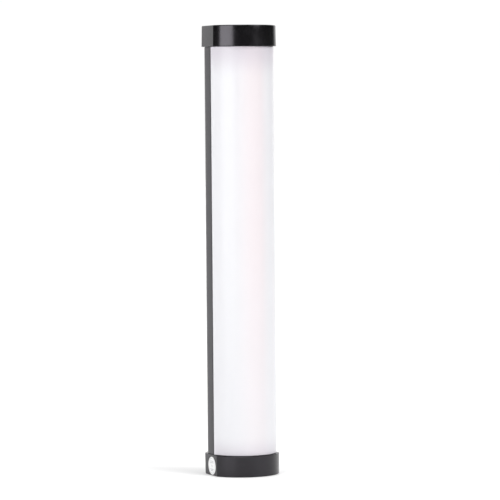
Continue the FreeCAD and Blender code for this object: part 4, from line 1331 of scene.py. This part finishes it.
def make_lamp():
    """One lamp about the origin: a package whose front has a round cup with a flat fill."""
    x, z, depth = (led_high.x - led_low.x) / 2, LAMP_LONG / 2, led_high.y - led_low.y
    corners = [(x, z), (-x, z), (-x, -z), (x, -z)]
    rim = arc((0, 0), CUP_RADIUS, 0, 360, CUP_EDGES)[:-1]
    fill = [(x * CUP_TAPER, z * CUP_TAPER) for x, z in rim]
    levels = ((corners, depth), (corners, 0), (rim, 0), (fill, CUP_DEPTH))
    vertices = [(x, level, z) for outline, level in levels for x, z in outline]
    rim_start, fill_start, per_corner = 8, 8 + CUP_EDGES, CUP_EDGES // 4
    faces = [[3, 2, 1, 0]]
    for step in range(4):
        after, start = (step + 1) % 4, step * per_corner
        fan = [rim_start + (start + extra) % CUP_EDGES for extra in range(per_corner + 1)]
        faces += [[step, after, 4 + after, 4 + step], [4 + step] + fan, [4 + step, fan[-1], 4 + after]]
    for step in range(CUP_EDGES):
        after = (step + 1) % CUP_EDGES
        faces.append([rim_start + step, rim_start + after, fill_start + after, fill_start + step])
    faces.append([fill_start + step for step in range(CUP_EDGES)])
    return piece_from("lamp", vertices, faces)


lamp = make_lamp()
for cad_node, (phosphor, slot) in COLUMNS.items():
    low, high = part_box(cad_node)
    name = cad_node.replace("leds", "lamps")
    first = Vector(((low.x + high.x) / 2, low.y, low.z + LAMP_LONG / 2))
    layout = {"Piece": lamp, "Count": LAMP_ROWS, "First": first, "Step": Vector((0, 0, lamp_pitch))}
    column = grow(name, EVEN_ROW, points_mesh(name), "lamp_white", **layout)
    paint(column, "lamp_white", phosphor)
    for face in column.data.polygons:
        face.material_index = 1 if len(face.vertices) == CUP_EDGES else 0
    attach(column, slot, cad_node)
bpy.data.objects.remove(lamp)
print(f"{LAMP_ROWS} lamps a column at {lamp_pitch / MM:.1f} mm")

# %% [markdown]
# ## Circuit boards
#
# A board is glass-epoxy under a coloured mask, with tracks that show through as slightly raised lines
# of another tone. A brick pattern, turned to lie along the board, gives the straight tracks, and a cell
# pattern gives the round pads.

# %% Board finishes
UPRIGHT, LYING = math.pi / 2, 0.0
GREEN = ((0.008, 0.07, 0.03), (0.015, 0.13, 0.055))
WHITE = ((0.80, 0.80, 0.79), (0.72, 0.72, 0.71))
BOARDS = {"control_mask": (*GREEN, UPRIGHT), "round_mask": (*GREEN, LYING), "white_mask": (*WHITE, UPRIGHT)}
PAD_GOLD = (0.62, 0.5, 0.25)


def board_finish(name, mask, track, turned):
    """Solder mask with tracks and pads, turned about X to face as the board does."""
    material, tree, shader = new_finish(name)
    lie = {0: coordinates(tree), "Rotation": (turned, 0, 0)}
    place = node(tree, "ShaderNodeMapping", lie).outputs[0]
    bricks = {"Vector": place, "Scale": 420.0, "Mortar Size": 0.035, "Brick Width": 1.9}
    lines = node(tree, "ShaderNodeTexBrick", bricks, offset=0.35).outputs["Fac"]
    cells = node(tree, "ShaderNodeTexVoronoi", {"Vector": place, "Scale": 330.0})
    pads = calculate(tree, "LESS_THAN", cells.outputs["Distance"], 0.2)
    given = {
        "Base Color": mix_colours(tree, pads, mix_colours(tree, lines, mask, track), PAD_GOLD),
        "Roughness": spread(tree, lines, 0.34, 0.24, 0, 1),
        "Normal": bump_from(tree, lines, 0.5, 0.03 * MM),
    }
    feed(tree, shader, given)
    return material


for name, look in BOARDS.items():
    FINISHES[name] = board_finish(name, *look)
print("all finishes:", len(FINISHES))

# %% [markdown]
# ## Inner pieces
#
# The carrier, boards, cells and fixings keep their CAD shapes, which are already right. Each gets the
# finish of what it is made of. They are hidden once the tube is closed, but show if it is opened.

# %% Finish the inner CAD pieces
INNER_PIECES = {
    "nickel_plate": ["bottom_magnet", "top_magnet", "board_spacers", "nickel_strips"],
    "chip_resin": ["display_module", "control_chips", "driver_chips"],
    "switch_nylon": ["switch_bodies", "cell_cradles"] + [f"{key}_plunger" for key in KEYS],
    "control_mask": ["control_board", "driver_board", "usb_board"],
    "round_mask": ["protection_board"],
    "white_mask": ["led_board"],
    "ferrite": ["inductors"],
    "bare_aluminium": ["capacitors", "led_carrier"],
    "bright_steel": ["board_screws"],
    "flex_film": ["board_link", "led_lead"],
    "thermal_pad": ["thermal_pad"],
    "reflector_white": ["reflector_wings"],
    "cell_sleeve": ["lower_cell", "upper_cell"],
    "wire_cover": ["battery_lead"],
}
for finish, cad_nodes in INNER_PIECES.items():
    for cad_node in cad_nodes:
        paint(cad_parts[cad_node], finish)
print("inner pieces finished:", sum(len(cad_nodes) for cad_nodes in INNER_PIECES.values()))

# %% [markdown]
# ## Floor
#
# A plain pale floor carries the tube. It is large enough to reach the horizon from every side, and it
# isn't part of the object.

# %% Lay the floor
half_floor = FLOOR_SIZE / 2
floor_corners = [(half_floor * x, half_floor * y, 0) for x, y in ((-1, -1), (1, -1), (1, 1), (-1, 1))]
floor_mesh = bpy.data.meshes.new("floor")
floor_mesh.from_pydata(floor_corners, [], [(0, 1, 2, 3)])
floor = bpy.data.objects.new("floor", floor_mesh)
bpy.context.scene.collection.objects.link(floor)
paint(floor, "floor_paint")
print("floor", FLOOR_SIZE, "m square")
